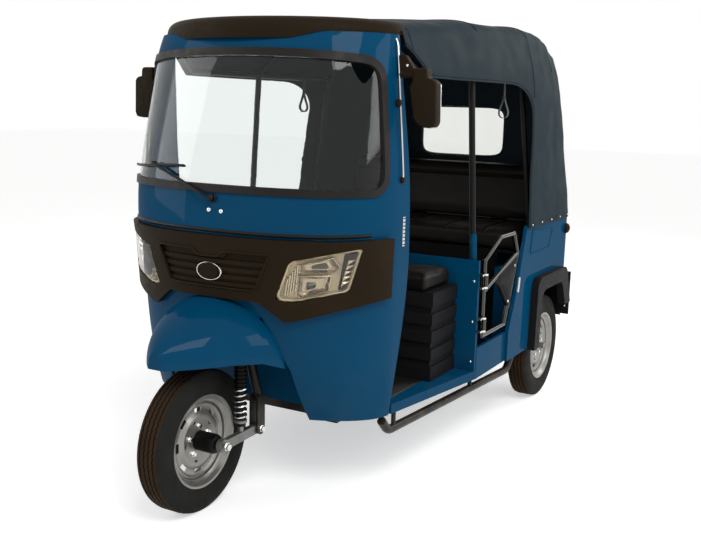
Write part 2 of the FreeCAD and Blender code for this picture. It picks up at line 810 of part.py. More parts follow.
def guard_solid(inset):
    wires = []
    for along, width, crown_share, lip_share in GUARD_SHARES:
        place = mix(GUARD_START, GUARD_TIP + inset, along)
        half = GUARD_HALF_WIDTH * width - inset
        crown = mix(GUARD_TIP_CROWN, GUARD_CROWN, crown_share) - inset
        lip = mix(GUARD_LIP, GUARD_FOOT, lip_share)
        wires.append(guard_arch(place, half, crown, lip))
    return Part.makeLoft(wires, True, False)


def front_mudguard():
    shell = guard_solid(0).cut(guard_solid(GUARD_WALL))
    wires = []
    for along, width, crown_share, lip_share in GUARD_SHARES:
        place = mix(GUARD_START + OVERRUN, GUARD_TIP - OVERRUN, along)
        lip = mix(GUARD_LIP, GUARD_FOOT, lip_share)
        wide = SHELL_HALF_WIDTH
        corners = [
            V(-wide, place, lip),
            V(wide, place, lip),
            V(wide, place, lip - OVERRUN * 3),
            V(-wide, place, lip - OVERRUN * 3),
        ]
        wires.append(polygon(corners))
    below = Part.makeLoft(wires, True, True)
    shell = shell.cut(below)
    shell = shell.cut(lower_solid(SEAT_GAP, OVERRUN))
    return cleaned(shell)


def roof_visor():
    levels = []
    for z, share in zip((VISOR_BOTTOM, VISOR_TOP - VISOR_HUMP, VISOR_TOP), VISOR_SHARES):
        half = VISOR_HALF_WIDTH * share
        front = mix(VISOR_REAR, VISOR_FRONT, share)
        levels.append(plan_wire(z, half, front, VISOR_REAR, VISOR_POWER, 0))
    solid = Part.makeLoft(levels, True, False)
    return cleaned(solid.cut(upper_solid(SEAT_GAP, OVERRUN)))


def floor_pan():
    deck = polygon([
        V(-SILL_FRONT_HALF + SHELL_WALL, BULKHEAD_REAR, RAIL_TOP),
        V(SILL_FRONT_HALF - SHELL_WALL, BULKHEAD_REAR, RAIL_TOP),
        V(SILL_FRONT_HALF - SHELL_WALL, SHELL_REAR, RAIL_TOP),
        V(SILL_REAR_HALF, PARTITION_REAR, RAIL_TOP),
        V(SILL_REAR_HALF, OPENING_FOOT, RAIL_TOP),
        V(TUB_HALF - TUB_WALL, OPENING_FOOT, RAIL_TOP),
        V(TUB_HALF - TUB_WALL, FLOOR_REAR, RAIL_TOP),
        V(-TUB_HALF + TUB_WALL, FLOOR_REAR, RAIL_TOP),
        V(-TUB_HALF + TUB_WALL, OPENING_FOOT, RAIL_TOP),
        V(-SILL_REAR_HALF, OPENING_FOOT, RAIL_TOP),
        V(-SILL_REAR_HALF, PARTITION_REAR, RAIL_TOP),
        V(-SILL_FRONT_HALF + SHELL_WALL, SHELL_REAR, RAIL_TOP),
    ])
    deck = Part.Face(deck).extrude(V(0, 0, FLOOR_THICKNESS))
    inner_trim = front_prism([
        (-SHELL_HALF_WIDTH, 0), (SHELL_HALF_WIDTH, 0),
        (SHELL_HALF_WIDTH, WAIST), (-SHELL_HALF_WIDTH, WAIST),
    ], -OVERRUN, SHELL_REAR)
    outside = inner_trim.cut(lower_solid(-SHELL_WALL - SEAT_GAP, OVERRUN))
    deck = deck.cut(outside)
    sills = []
    for side in (-1, 1):
        points = [
            V(side * SILL_FRONT_HALF, SHELL_REAR, SHELL_BOTTOM),
            V(side * SILL_REAR_HALF, PARTITION_REAR, SHELL_BOTTOM),
            V(side * (SILL_REAR_HALF - SILL_WALL), PARTITION_REAR, SHELL_BOTTOM),
            V(side * (SILL_FRONT_HALF - SILL_WALL), SHELL_REAR, SHELL_BOTTOM),
        ]
        sills.append(Part.Face(polygon(points)).extrude(V(0, 0, SILL_HEIGHT)))
        inner = side * (SILL_REAR_HALF - SILL_WALL)
        outer = side * SILL_REAR_HALF
        low, high = min(inner, outer), max(inner, outer)
        sills.append(box(low, high, PARTITION_REAR, OPENING_FOOT, SHELL_BOTTOM, PASSENGER_SILL_TOP))
    bulkhead = side_prism([
        (BULKHEAD_REAR - BULKHEAD_WALL, RAIL_TOP, 0),
        (BULKHEAD_REAR, RAIL_TOP, 0),
        (BULKHEAD_REAR, BULKHEAD_KNEE, 0),
        (0, BULKHEAD_TOP + OVERRUN * 2, 0),
        (0, BULKHEAD_TOP + OVERRUN * 2 - BULKHEAD_WALL * 2, 0),
        (BULKHEAD_REAR - BULKHEAD_WALL, BULKHEAD_KNEE - BULKHEAD_WALL, 0),
    ], BULKHEAD_HALF)
    bulkhead = bulkhead.common(lower_solid(-SHELL_WALL - SEAT_GAP, OVERRUN))
    top = steering_point(HEAD_TUBE_LENGTH * 2)
    low = steering_point(-HEAD_TUBE_LENGTH)
    bulkhead = bulkhead.cut(rod(low, top, HEAD_TUBE_RADIUS))
    return cleaned(fused([deck, bulkhead] + sills))


def partition():
    return box(-PARTITION_HALF, PARTITION_HALF, PARTITION_REAR - PARTITION_THICKNESS,
               PARTITION_REAR, RAIL_TOP + FLOOR_THICKNESS, PARTITION_TOP)


def driver_seat_base():
    front = SEAT_BASE_FRONT
    rear = PARTITION_REAR - PARTITION_THICKNESS
    body = box(-SEAT_BASE_HALF, SEAT_BASE_HALF, front, rear, FLOOR_Z, SEAT_BASE_TOP)
    pitch = (SEAT_BASE_TOP - FLOOR_Z) / (SEAT_RIDGE_COUNT + 1)
    for i in range(SEAT_RIDGE_COUNT):
        low = FLOOR_Z + pitch * (i + 1) - SEAT_RIDGE_HEIGHT / 2
        groove = box(-SEAT_BASE_HALF - OVERRUN, SEAT_BASE_HALF + OVERRUN, front - OVERRUN,
                     front + SEAT_RIDGE_DEPTH, low, low + SEAT_RIDGE_HEIGHT)
        body = body.cut(groove)
        for side in (-1, 1):
            inner = side * (SEAT_BASE_HALF - SEAT_RIDGE_DEPTH)
            outer = side * (SEAT_BASE_HALF + OVERRUN)
            x0, x1 = min(inner, outer), max(inner, outer)
            body = body.cut(box(x0, x1, front - OVERRUN, rear + OVERRUN, low, low + SEAT_RIDGE_HEIGHT))
    return body


def padded_box(x0, x1, y0, y1, z0, z1, corner):
    pad = box(x0, x1, y0, y1, z0, z1)
    return pad.makeFillet(corner, pad.Edges)


def driver_seat_cushion():
    rear = PARTITION_REAR - PARTITION_THICKNESS
    return padded_box(-CUSHION_HALF, CUSHION_HALF, CUSHION_FRONT, rear, SEAT_BASE_TOP,
                      SEAT_BASE_TOP + CUSHION_THICKNESS, CUSHION_CORNER)


def passenger_seat_base():
    body = box(-BENCH_HALF, BENCH_HALF, BENCH_FRONT, BENCH_FRONT + BENCH_WALL, FLOOR_Z, BENCH_TOP)
    top = box(-BENCH_SEAT_HALF, BENCH_SEAT_HALF, BENCH_FRONT, BENCH_REAR,
              BENCH_TOP - BENCH_WALL, BENCH_TOP)
    return fused([body, top])


def passenger_cushion():
    half = BENCH_SEAT_HALF
    return padded_box(-half, half, BENCH_CUSHION_FRONT, BENCH_CUSHION_REAR, BENCH_TOP,
                      BENCH_TOP + BENCH_CUSHION_THICKNESS, CUSHION_CORNER)


def passenger_backrest():
    lean = BACKREST_LEAN
    corner = CUSHION_CORNER
    return side_prism([
        (BACKREST_FRONT, BACKREST_BOTTOM, corner),
        (BACKREST_FRONT + BACKREST_THICKNESS, BACKREST_BOTTOM, corner),
        (BACKREST_FRONT + BACKREST_THICKNESS + lean, BACKREST_TOP, corner),
        (BACKREST_FRONT + lean, BACKREST_TOP, corner),
    ], BACKREST_HALF)


def rear_arch(grow):
    return side_prism([
        (ARCH_FRONT - grow, SHELL_BOTTOM - OVERRUN * 2, 0),
        (ARCH_SHOULDER - grow, ARCH_HEIGHT + grow, ARCH_CORNER),
        (ARCH_REAR_SHOULDER + grow, ARCH_HEIGHT + grow, ARCH_CORNER),
        (ARCH_REAR + grow, SHELL_BOTTOM - OVERRUN * 2, 0),
    ], REAR_HALF + OVERRUN)


def rear_block(inset, rear_inset, overrun):
    wire = rounded_wire([
        (V(-REAR_HALF + inset, OPENING_FOOT - overrun, SHELL_BOTTOM - overrun), 0),
        (V(REAR_HALF - inset, OPENING_FOOT - overrun, SHELL_BOTTOM - overrun), 0),
        (V(REAR_HALF - inset, REAR_END - rear_inset, SHELL_BOTTOM - overrun), REAR_CORNER - inset),
        (V(-REAR_HALF + inset, REAR_END - rear_inset, SHELL_BOTTOM - overrun), REAR_CORNER - inset),
    ])
    height = HEM_FRONT + OVERRUN - SHELL_BOTTOM + 2 * overrun
    return Part.Face(wire).extrude(V(0, 0, height))


def rear_body():
    wall = rear_block(0, 0, 0).cut(rear_block(REAR_WALL, REAR_WALL, OVERRUN))
    outline = side_prism([
        (OPENING_FOOT, SHELL_BOTTOM, 0),
        (OPENING_FOOT, PASSENGER_SILL_TOP, 0),
        (OPENING_MID, OPENING_MID_Z, 0),
        (OPENING_HEM, HEM_FRONT, 0),
        (REAR_END + OVERRUN, HEM_REAR, 0),
        (REAR_END + OVERRUN, SHELL_BOTTOM, 0),
    ], REAR_HALF + OVERRUN)
    wall = wall.common(outline)
    wall = wall.cut(rear_arch(ARCH_RELIEF))
    tail_cut = box(-REAR_HALF, REAR_HALF, WHEELBASE + TYRE_RADIUS, REAR_END + OVERRUN,
                   SHELL_BOTTOM - OVERRUN, REAR_BOTTOM)
    wall = wall.cut(tail_cut)
    wall = wall.cut(box(-LID_HALF - LID_GAP, LID_HALF + LID_GAP, REAR_END - REAR_WALL - OVERRUN,
                        REAR_END + OVERRUN, LID_BOTTOM - LID_GAP, LID_TOP + LID_GAP))
    tubs = []
    for side in (-1, 1):
        inner = side * TUB_HALF
        outer = side * (REAR_HALF - REAR_WALL)
        x0, x1 = min(inner, outer), max(inner, outer)
        tub = box(x0, x1, TUB_FRONT, REAR_END - REAR_WALL, REAR_BOTTOM, TUB_TOP)
        x2, x3 = (x0 + TUB_WALL, x1 + OVERRUN) if side > 0 else (x0 - OVERRUN, x1 - TUB_WALL)
        tub = tub.cut(box(x2, x3, TUB_FRONT + TUB_WALL, REAR_END - REAR_WALL - TUB_WALL,
                          REAR_BOTTOM - OVERRUN, TUB_TOP - TUB_WALL))
        tubs.append(tub)
    whole = fused([wall] + tubs + lid_pins())
    for side in (-1, 1):
        hole = Part.makeCylinder(PLATE_HOLE_RADIUS, REAR_WALL + OVERRUN,
                                 V(side * PLATE_SPACING / 2, REAR_END - REAR_WALL, PLATE_Z), Y_AXIS)
        whole = whole.cut(hole)
    return cleaned(whole)


def wheel_flares():
    ring = rear_arch(FLARE_WIDTH).cut(rear_arch(0))
    ring = ring.cut(box(-REAR_HALF * 2, REAR_HALF * 2, 0, REAR_END * 2, 0, FLARE_FOOT))
    ring = ring.cut(box(-REAR_HALF * 2, REAR_HALF * 2, WHEELBASE, REAR_END * 2, 0, FLARE_REAR_FOOT))
    low = REAR_HALF
    left = ring.common(box(low, low + FLARE_PROUD, 0, REAR_END * 2, 0, HEM_FRONT))
    return pair(cleaned(left))


# Upright panels that keep mud off the tail, behind the rear wheels
def mud_panels():
    panel = box(MUD_PANEL_INNER, REAR_HALF + FLARE_PROUD, MUD_PANEL_FRONT,
                MUD_PANEL_FRONT + MUD_PANEL_THICKNESS, MUD_PANEL_BOTTOM, MUD_PANEL_TOP)
    return pair(cleaned(panel.cut(rear_body()).cut(wheel_flares())))


def rear_lid():
    panel = box(-LID_HALF, LID_HALF, REAR_END - LID_THICKNESS, REAR_END, LID_BOTTOM, LID_TOP)
    knuckles = []
    for side in (-1, 1):
        centre = side * LID_HALF / 2
        x0 = centre - LID_KNUCKLE / 2
        leaf = box(x0, x0 + LID_KNUCKLE, REAR_END, REAR_END + LID_HINGE_BACK,
                   LID_TOP - LID_HINGE_RADIUS * 3, LID_HINGE_Z)
        barrel = Part.makeCylinder(LID_HINGE_RADIUS, LID_KNUCKLE, V(x0, LID_HINGE_Y, LID_HINGE_Z), X_AXIS)
        knuckles.extend([leaf, barrel])
    whole = fused([panel] + knuckles)
    bore = Part.makeCylinder(LID_PIN_RADIUS + PIN_CLEARANCE, LID_HALF * 2,
                             V(-LID_HALF, LID_HINGE_Y, LID_HINGE_Z), X_AXIS)
    return cleaned(whole.cut(bore))


# Pins of the lid hinges, held by an ear at each end of every knuckle
def lid_pins():
    pieces = []
    for side in (-1, 1):
        centre = side * LID_HALF / 2
        reach = LID_KNUCKLE / 2 + LID_EAR
        pin_end = V(centre - reach, LID_HINGE_Y, LID_HINGE_Z)
        pieces.append(Part.makeCylinder(LID_PIN_RADIUS, reach * 2, pin_end, X_AXIS))
        for end in (-1, 1):
            x0, x1 = sorted((centre + end * (LID_KNUCKLE / 2 + RUNNING_GAP), centre + end * reach))
            ear = box(x0, x1, REAR_END - SLIVER, LID_HINGE_Y,
                      LID_HINGE_Z, LID_HINGE_Z + LID_HINGE_RADIUS * 2)
            eye = Part.makeCylinder(LID_HINGE_RADIUS, x1 - x0, V(x0, LID_HINGE_Y, LID_HINGE_Z), X_AXIS)
            pieces.extend([ear, eye])
    return pieces


def canopy_section(place, hem_share, top_share, drop, inset):
    crown = CANOPY_CROWN - drop * CANOPY_DROP - inset
    edge_z = CANOPY_EDGE_Z - drop * CANOPY_DROP - inset
    shoulder_z = min(CANOPY_SHOULDER_Z, edge_z - SHOULDER_RISE)
    hem = CANOPY_HEM_HALF * hem_share - inset
    shoulder = CANOPY_SHOULDER_HALF * top_share - inset
    edge = CANOPY_EDGE_HALF * top_share - inset
    right = [
        V(hem, place, HEM_REAR),
        V(mix(hem, shoulder, FLANK_SHARE), place, mix(HEM_REAR, shoulder_z, FLANK_SHARE)),
        V(shoulder, place, shoulder_z),
        V(mix(shoulder, edge, EDGE_TURN_SHARE), place, mix(shoulder_z, edge_z, EDGE_RISE_SHARE)),
        V(edge, place, edge_z),
        V(edge / 2, place, mix(edge_z, crown, CROWN_RISE_SHARE)),
        V(0, place, crown),
    ]
    points = right + [V(-p.x, p.y, p.z) for p in reversed(right[:-1])]
    curve = Part.BSplineCurve()
    curve.interpolate(points)
    low = HEM_REAR - OVERRUN * 2
    corners = [points[-1], V(-hem, place, low), V(hem, place, low), points[0]]
    edges = [curve.toShape()]
    for first, second in zip(corners, corners[1:]):
        edges.append(Part.LineSegment(first, second).toShape())
    return Part.Wire(edges)


def canopy_solid(inset, front_extra, rear_inset):
    wires = []
    for along, hem_share, top_share, drop in CANOPY_SHARES:
        place = mix(CANOPY_FRONT - front_extra, CANOPY_REAR - rear_inset, along)
        wires.append(canopy_section(place, hem_share, top_share, drop, inset))
    return Part.makeLoft(wires, True, True)


def side_opening():
    return side_prism([
        (CANOPY_FRONT - OVERRUN * 2, HEM_REAR - OVERRUN * 3, 0),
        (CANOPY_FRONT - OVERRUN * 2, DOOR_CUT_FRONT_TOP, 0),
        (CANOPY_FRONT, DOOR_CUT_FRONT_TOP, 0),
        (DOOR_CUT_DIAGONAL, DOOR_CUT_TOP, 0),
        (DOOR_CUT_REAR, DOOR_CUT_TOP, DOOR_CUT_CORNER),
        (OPENING_HEM, HEM_FRONT, 0),
        (OPENING_HEM, HEM_REAR - OVERRUN * 3, 0),
    ], CANOPY_HEM_HALF + OVERRUN)


def back_window_prism():
    corners = [
        (V(-BACK_WINDOW_HALF, BACKREST_FRONT, BACK_WINDOW_BOTTOM), BACK_WINDOW_CORNER),
        (V(BACK_WINDOW_HALF, BACKREST_FRONT, BACK_WINDOW_BOTTOM), BACK_WINDOW_CORNER),
        (V(BACK_WINDOW_HALF, BACKREST_FRONT, BACK_WINDOW_TOP), BACK_WINDOW_CORNER),
        (V(-BACK_WINDOW_HALF, BACKREST_FRONT, BACK_WINDOW_TOP), BACK_WINDOW_CORNER),
    ]
    return Part.Face(rounded_wire(corners)).extrude(V(0, CANOPY_REAR, 0))


def canopy_skin():
    return canopy_solid(0, 0, 0).cut(canopy_solid(CANOPY_WALL, OVERRUN, CANOPY_WALL))


def canopy():
    skin = canopy_skin()
    skin = skin.cut(side_opening())
    below_hem = side_prism([
        (CANOPY_FRONT - OVERRUN * 2, 0, 0),
        (CANOPY_FRONT - OVERRUN * 2, HEM_FRONT, 0),
        (OPENING_HEM, HEM_FRONT, 0),
        (REAR_END + OVERRUN, HEM_REAR, 0),
        (REAR_END + OVERRUN, 0, 0),
    ], CANOPY_HEM_HALF + OVERRUN)
    skin = skin.cut(below_hem)
    skin = skin.cut(back_window_prism())
    skin = skin.cut(upper_solid(SEAT_GAP, OVERRUN))
    skin = skin.cut(roof_visor())
    return cleaned(skin)


def rear_window():
    return cleaned(canopy_skin().common(back_window_prism()))


def canopy_frame():
    pieces = []
    for side in (-1, 1):
        pole_foot = V(side * POLE_FOOT_HALF, POLE_Y, PARTITION_TOP - OVERRUN)
        pole_top = V(side * RAIL_TOP_HALF, POLE_Y, TOP_RAIL_Z)
        front = V(side * TOP_RAIL_FRONT_HALF, SHELL_REAR + TOP_RAIL_FRONT_STEP, TOP_RAIL_FRONT_Z)
        knee = V(side * RAIL_TOP_HALF, DOOR_CUT_DIAGONAL, TOP_RAIL_Z)
        back = V(side * RAIL_TOP_HALF, BOW_REAR, TOP_RAIL_Z)
        pieces.append(rod(pole_foot, pole_top, POLE_RADIUS))
        pieces.append(rod(front, knee, BOW_RADIUS))
        pieces.append(rod(knee, back, BOW_RADIUS))
        pieces.append(Part.makeSphere(BOW_RADIUS, knee))
        pieces.append(Part.makeSphere(BOW_RADIUS, back))
        pieces.append(rod(back, V(side * BOW_FOOT_HALF, BOW_REAR, BOW_FOOT_Z), BOW_RADIUS))
    for place, rise in ((POLE_Y, 0), (BOW_REAR, BOW_REAR_RISE)):
        edge = V(RAIL_TOP_HALF, place, TOP_RAIL_Z)
        shoulder = V(RAIL_TOP_HALF * BOW_SHOULDER_SHARE, place, BOW_CROWN_Z + rise)
        bow = [rod(edge, shoulder, BOW_RADIUS), Part.makeSphere(BOW_RADIUS, shoulder)]
        pieces.extend(bow)
        pieces.extend([mirrored(piece) for piece in bow])
        pieces.append(rod(V(-shoulder.x, place, shoulder.z), shoulder, BOW_RADIUS))
    return cleaned(fused(pieces))


# A point on the steering axis, the given distance up from the fork crown
def steering_point(distance):
    angle = math.radians(RAKE_DEG)
    return V(0, CROWN_Y + distance * math.sin(angle), CROWN_Z + distance * math.cos(angle))


def cross_place(share):
    return mix(RAIL_FRONT, RAIL_REAR - CROSS_WIDTH, share)


def engine_cross_place(ahead):
    return RAIL_REAR - CROSS_WIDTH - ahead


def chassis():
    low = RAIL_TOP - RAIL_HEIGHT
    inner = RAIL_HALF - RAIL_WIDTH / 2
    axle_notch = Part.makeCylinder(AXLE_RADIUS + SWING_GAP, REAR_TRACK_HALF * 2,
                                   V(-REAR_TRACK_HALF, WHEELBASE, WHEEL_HEIGHT), X_AXIS)
    rail = box(inner, inner + RAIL_WIDTH, RAIL_FRONT, RAIL_REAR, low, RAIL_TOP).cut(axle_notch)
    pieces = [rail, mirrored(rail)]
    for share in OUTRIGGER_SHARES:
        arm = side_arm(cross_place(share))
        pieces.extend([arm, mirrored(arm)])
    places = [cross_place(share) for share in CROSS_SHARES]
    places += [engine_cross_place(ahead) for ahead in ENGINE_CROSS_AHEAD]
    for place in places:
        pieces.append(box(-inner, inner, place, place + CROSS_WIDTH, low, RAIL_TOP))
    tow = box(-TOW_PLATE_HALF, TOW_PLATE_HALF, RAIL_REAR - CROSS_WIDTH * 2, RAIL_REAR + TOW_PLATE_REACH,
              low - TOW_PLATE_THICKNESS, low)
    eye = Part.makeCylinder(TOW_BORE_RADIUS, RAIL_TOP, V(0, RAIL_REAR + TOW_PLATE_REACH / 2, 0), Z_AXIS)
    pieces.append(tow.cut(eye))
    solids = []
    for piece in pieces:
        solids.extend(piece.Solids)
    return Part.makeCompound(solids)


# Posts on the rails that carry the tops of the rear dampers
def damper_towers():
    front = WHEELBASE - CROSS_WIDTH / 2
    rear = WHEELBASE + CROSS_WIDTH / 2
    post = box(RAIL_HALF - RAIL_WIDTH / 2, RAIL_HALF + RAIL_WIDTH / 2, front, rear, RAIL_TOP, TOWER_TOP)
    shelf = box(RAIL_HALF - RAIL_WIDTH / 2, DAMPER_HALF + DAMPER_RADIUS, front, rear,
                TOWER_TOP, TOWER_TOP + TOWER_PLATE)
    return pair(cleaned(fused([post, shelf])))


# Outrigger from the rail to the sill and the step bar
def side_arm(place):
    reach = step_half(place) + STEP_HANGER_RADIUS
    return box(RAIL_HALF + RAIL_WIDTH / 2, reach, place, place + OUTRIGGER_WIDTH,
               RAIL_TOP - OUTRIGGER_HEIGHT, RAIL_TOP)


# Head tube that carries the steering, with the tube that ties it to the first cross member
def steering_head():
    low = steering_point(CROWN_THICKNESS + SWING_GAP)
    high = steering_point(CROWN_THICKNESS + SWING_GAP + HEAD_TUBE_LENGTH)
    whole = fused([rod(low, high, HEAD_TUBE_RADIUS), down_tube()])
    bore = rod(steering_point(-OVERRUN), steering_point(STEM_LENGTH), STEM_RADIUS + RUNNING_GAP)
    return cleaned(whole.cut(bore).cut(chassis()))


def down_tube():
    high = steering_point(CROWN_THICKNESS + SWING_GAP + HEAD_TUBE_LENGTH)
    foot = V(0, RAIL_FRONT + CROSS_WIDTH, RAIL_TOP - RAIL_HEIGHT / 2)
    return rod(high, foot, DOWN_TUBE_RADIUS)


def tyre(width):
    half = width / 2
    right = [
        V(half, 0, TYRE_BEAD_RADIUS),
        V(half, 0, TYRE_RADIUS - TYRE_SHOULDER_DROP),
        V(half - TYRE_SHOULDER_WIDTH, 0, TYRE_RADIUS),
    ]
    left = [V(-point.x, 0, point.z) for point in reversed(right)]
    return Part.Face(polygon(right + left)).revolve(V(0, 0, 0), X_AXIS, 360)


def rim(bore):
    half = RIM_WIDTH / 2
    barrel = Part.makeCylinder(TYRE_BEAD_RADIUS, RIM_WIDTH, V(-half, 0, 0), X_AXIS)
    inside = Part.makeCylinder(TYRE_BEAD_RADIUS - RIM_WALL * 2, RIM_WIDTH, V(-half, 0, 0), X_AXIS)
    barrel = barrel.cut(inside)
    disc = Part.makeCylinder(TYRE_BEAD_RADIUS - RIM_WALL, DISC_THICKNESS, V(DISC_OFFSET, 0, 0), X_AXIS)
    for i in range(WINDOW_COUNT):
        angle = 2 * math.pi * i / WINDOW_COUNT
        centre = V(0, WINDOW_RING_RADIUS * math.cos(angle), WINDOW_RING_RADIUS * math.sin(angle))
        disc = disc.cut(Part.makeCylinder(WINDOW_RADIUS, RIM_WIDTH, centre, X_AXIS))
    drum = Part.makeCylinder(DRUM_RADIUS, DRUM_WIDTH, V(DISC_OFFSET - DRUM_WIDTH, 0, 0), X_AXIS)
    hub = Part.makeCylinder(HUB_RADIUS, HUB_WIDTH, V(-HUB_WIDTH / 2, 0, 0), X_AXIS)
    wheel = fused([barrel, disc, drum, hub])
    hole = Part.makeCylinder(bore, HUB_WIDTH + OVERRUN, V(-(HUB_WIDTH + OVERRUN) / 2, 0, 0), X_AXIS)
    return cleaned(wheel.cut(hole))


def placed(shape, x, y, z):
    moved = shape.copy()
    moved.translate(V(x, y, z))
    return moved


def front_fork():
    crown = box(-CROWN_HALF, CROWN_HALF, -CROWN_WIDTH / 2, CROWN_WIDTH / 2, 0, CROWN_THICKNESS)
    crown.rotate(V(0, 0, 0), X_AXIS, -RAKE_DEG)
    crown.translate(V(0, CROWN_Y, CROWN_Z))
    stem = rod(steering_point(CROWN_THICKNESS / 2), steering_point(STEM_LENGTH), STEM_RADIUS)
    pieces = [crown, stem]
    for side in (-1, 1):
        top = steering_point(CROWN_THICKNESS / 2).add(V(side * LEG_HALF, CROWN_WIDTH / 4, 0))
        foot = V(side * LEG_HALF, PIVOT_Y + LEG_RADIUS / 2, PIVOT_Z + LUG_HEIGHT)
        pieces.append(rod(top, foot, LEG_RADIUS))
        for face in (-1, 1):
            x0, x1 = sorted((side * LEG_HALF + face * LINK_THICKNESS / 2,
                             side * LEG_HALF + face * (LINK_THICKNESS / 2 + LUG_THICKNESS)))
            pieces.append(box(x0, x1, PIVOT_Y - PIVOT_RADIUS, PIVOT_Y + PIVOT_RADIUS, PIVOT_Z,
                              PIVOT_Z + LUG_HEIGHT + LEG_RADIUS))
            pieces.append(Part.makeCylinder(PIVOT_RADIUS, x1 - x0, V(x0, PIVOT_Y, PIVOT_Z), X_AXIS))
    return cleaned(fused(pieces))


def leading_links():
    pieces = [Part.makeCylinder(FRONT_PIN_RADIUS, LEG_HALF * 2, V(-LEG_HALF, 0, WHEEL_HEIGHT), X_AXIS)]
    for side in (-1, 1):
        x0 = side * LEG_HALF - LINK_THICKNESS / 2
        points = [
            V(x0, 0, WHEEL_HEIGHT - LINK_HEIGHT / 2),
            V(x0, PIVOT_Y, PIVOT_Z - LINK_HEIGHT / 2),
            V(x0, PIVOT_Y, PIVOT_Z + LINK_HEIGHT / 2),
            V(x0, 0, WHEEL_HEIGHT + LINK_HEIGHT / 2),
        ]
        pieces.append(Part.Face(polygon(points)).extrude(V(LINK_THICKNESS, 0, 0)))
        pieces.append(Part.makeCylinder(LINK_HEIGHT / 2, LINK_THICKNESS, V(x0, PIVOT_Y, PIVOT_Z), X_AXIS))
        pieces.append(Part.makeCylinder(LINK_HEIGHT * AXLE_BOSS_SHARE, LINK_THICKNESS,
                                        V(x0, 0, WHEEL_HEIGHT), X_AXIS))
    return cleaned(fused(pieces))


def front_shocks():
    top = V(LEG_HALF, SHOCK_TOP_Y, CROWN_Z + CROWN_THICKNESS)
    bottom = V(LEG_HALF, SHOCK_BOTTOM_Y, WHEEL_HEIGHT)
    spring_low = V(LEG_HALF, mix(SHOCK_BOTTOM_Y, SHOCK_TOP_Y, SHOCK_BOTTOM_SHARE),
                   mix(bottom.z, top.z, SHOCK_BOTTOM_SHARE))
    spring_high = V(LEG_HALF, mix(SHOCK_BOTTOM_Y, SHOCK_TOP_Y, SHOCK_TOP_SHARE),
                    mix(bottom.z, top.z, SHOCK_TOP_SHARE))
    body = fused([rod(bottom, top, SHOCK_ROD_RADIUS), rod(spring_low, spring_high, SHOCK_SPRING_RADIUS)])
    left = body.cut(front_fork()).cut(leading_links())
    left = max(left.Solids, key=lambda solid: solid.Volume)
    return pair(left)


def handlebar():
    middle = steering_point(STEM_LENGTH + BAR_RADIUS)
    pieces = []
    for side in (-1, 1):
        shoulder = middle.add(V(side * BAR_HALF * BAR_SHOULDER_SHARE, 0, BAR_RISE))
        grip_start = middle.add(V(side * (BAR_HALF - GRIP_LENGTH), BAR_SWEEP * BAR_SWEEP_SHARE, BAR_RISE))
        grip_end = middle.add(V(side * BAR_HALF, BAR_SWEEP, BAR_RISE))
        pieces.append(rod(middle, shoulder, BAR_RADIUS))
        pieces.append(rod(shoulder, grip_start, BAR_RADIUS))
        pieces.append(rod(grip_start, grip_end, GRIP_RADIUS))
        pieces.append(Part.makeSphere(BAR_RADIUS, shoulder))
        pieces.append(Part.makeSphere(BAR_RADIUS, grip_start))
    pieces.append(Part.makeSphere(BAR_RADIUS, middle))
    return cleaned(fused(pieces))


def door_frame():
    radius = DOOR_TUBE_RADIUS
    knots = [
        V(DOOR_X, DOOR_FRONT, DOOR_BOTTOM),
        V(DOOR_X, DOOR_FRONT, DOOR_KNEE_Z),
        V(DOOR_X, DOOR_FRONT_TOP, DOOR_TOP),
        V(DOOR_X, DOOR_REAR_TOP, DOOR_TOP),
        V(DOOR_X, DOOR_REAR, DOOR_REAR_Z),
        V(DOOR_X, DOOR_FOOT_REAR, DOOR_BOTTOM),
    ]
    pieces = []
    count = len(knots)
    for i in range(count):
        pieces.append(rod(knots[i], knots[(i + 1) % count], radius))
        pieces.append(Part.makeSphere(radius, knots[i]))
    brace = V(DOOR_X, DOOR_FRONT, DOOR_BRACE_Z)
    pieces.append(rod(brace, knots[4], radius * DOOR_BRACE_SHARE))
    for z in DOOR_HINGES_Z:
        foot = V(HINGE_X, HINGE_Y, z - HINGE_LENGTH / 2)
        eye = Part.makeCylinder(HINGE_BARREL_RADIUS, HINGE_LENGTH, foot, Z_AXIS)
        leaf = rod(V(HINGE_X, HINGE_Y, z), V(DOOR_X, DOOR_FRONT, z), HINGE_LEAF_RADIUS)
        pieces.extend([eye, leaf])
    whole = fused(pieces)
    bore = Part.makeCylinder(HINGE_PIN_RADIUS + PIN_CLEARANCE, DOOR_TOP, V(HINGE_X, HINGE_Y, 0), Z_AXIS)
    return cleaned(whole.cut(bore))


def door_panel():
    half = DOOR_PANEL_THICKNESS / 2
    x = DOOR_X - half
    run = DOOR_REAR - DOOR_FRONT
    rise = DOOR_REAR_Z - DOOR_BRACE_Z
    start = DOOR_FRONT + run * DOOR_PANEL_SHARE
    wire = polygon([
        V(x, start, DOOR_BRACE_Z + rise * DOOR_PANEL_SHARE),
        V(x, DOOR_REAR, DOOR_REAR_Z),
        V(x, DOOR_FOOT_REAR, DOOR_BOTTOM),
        V(x, mix(start, DOOR_FOOT_REAR, DOOR_PANEL_FOOT_SHARE),
          mix(DOOR_BOTTOM, DOOR_BRACE_Z, DOOR_PANEL_STEP_SHARE)),
    ])
    panel = Part.Face(wire).extrude(V(DOOR_PANEL_THICKNESS, 0, 0))
    return cleaned(panel.cut(door_frame()))


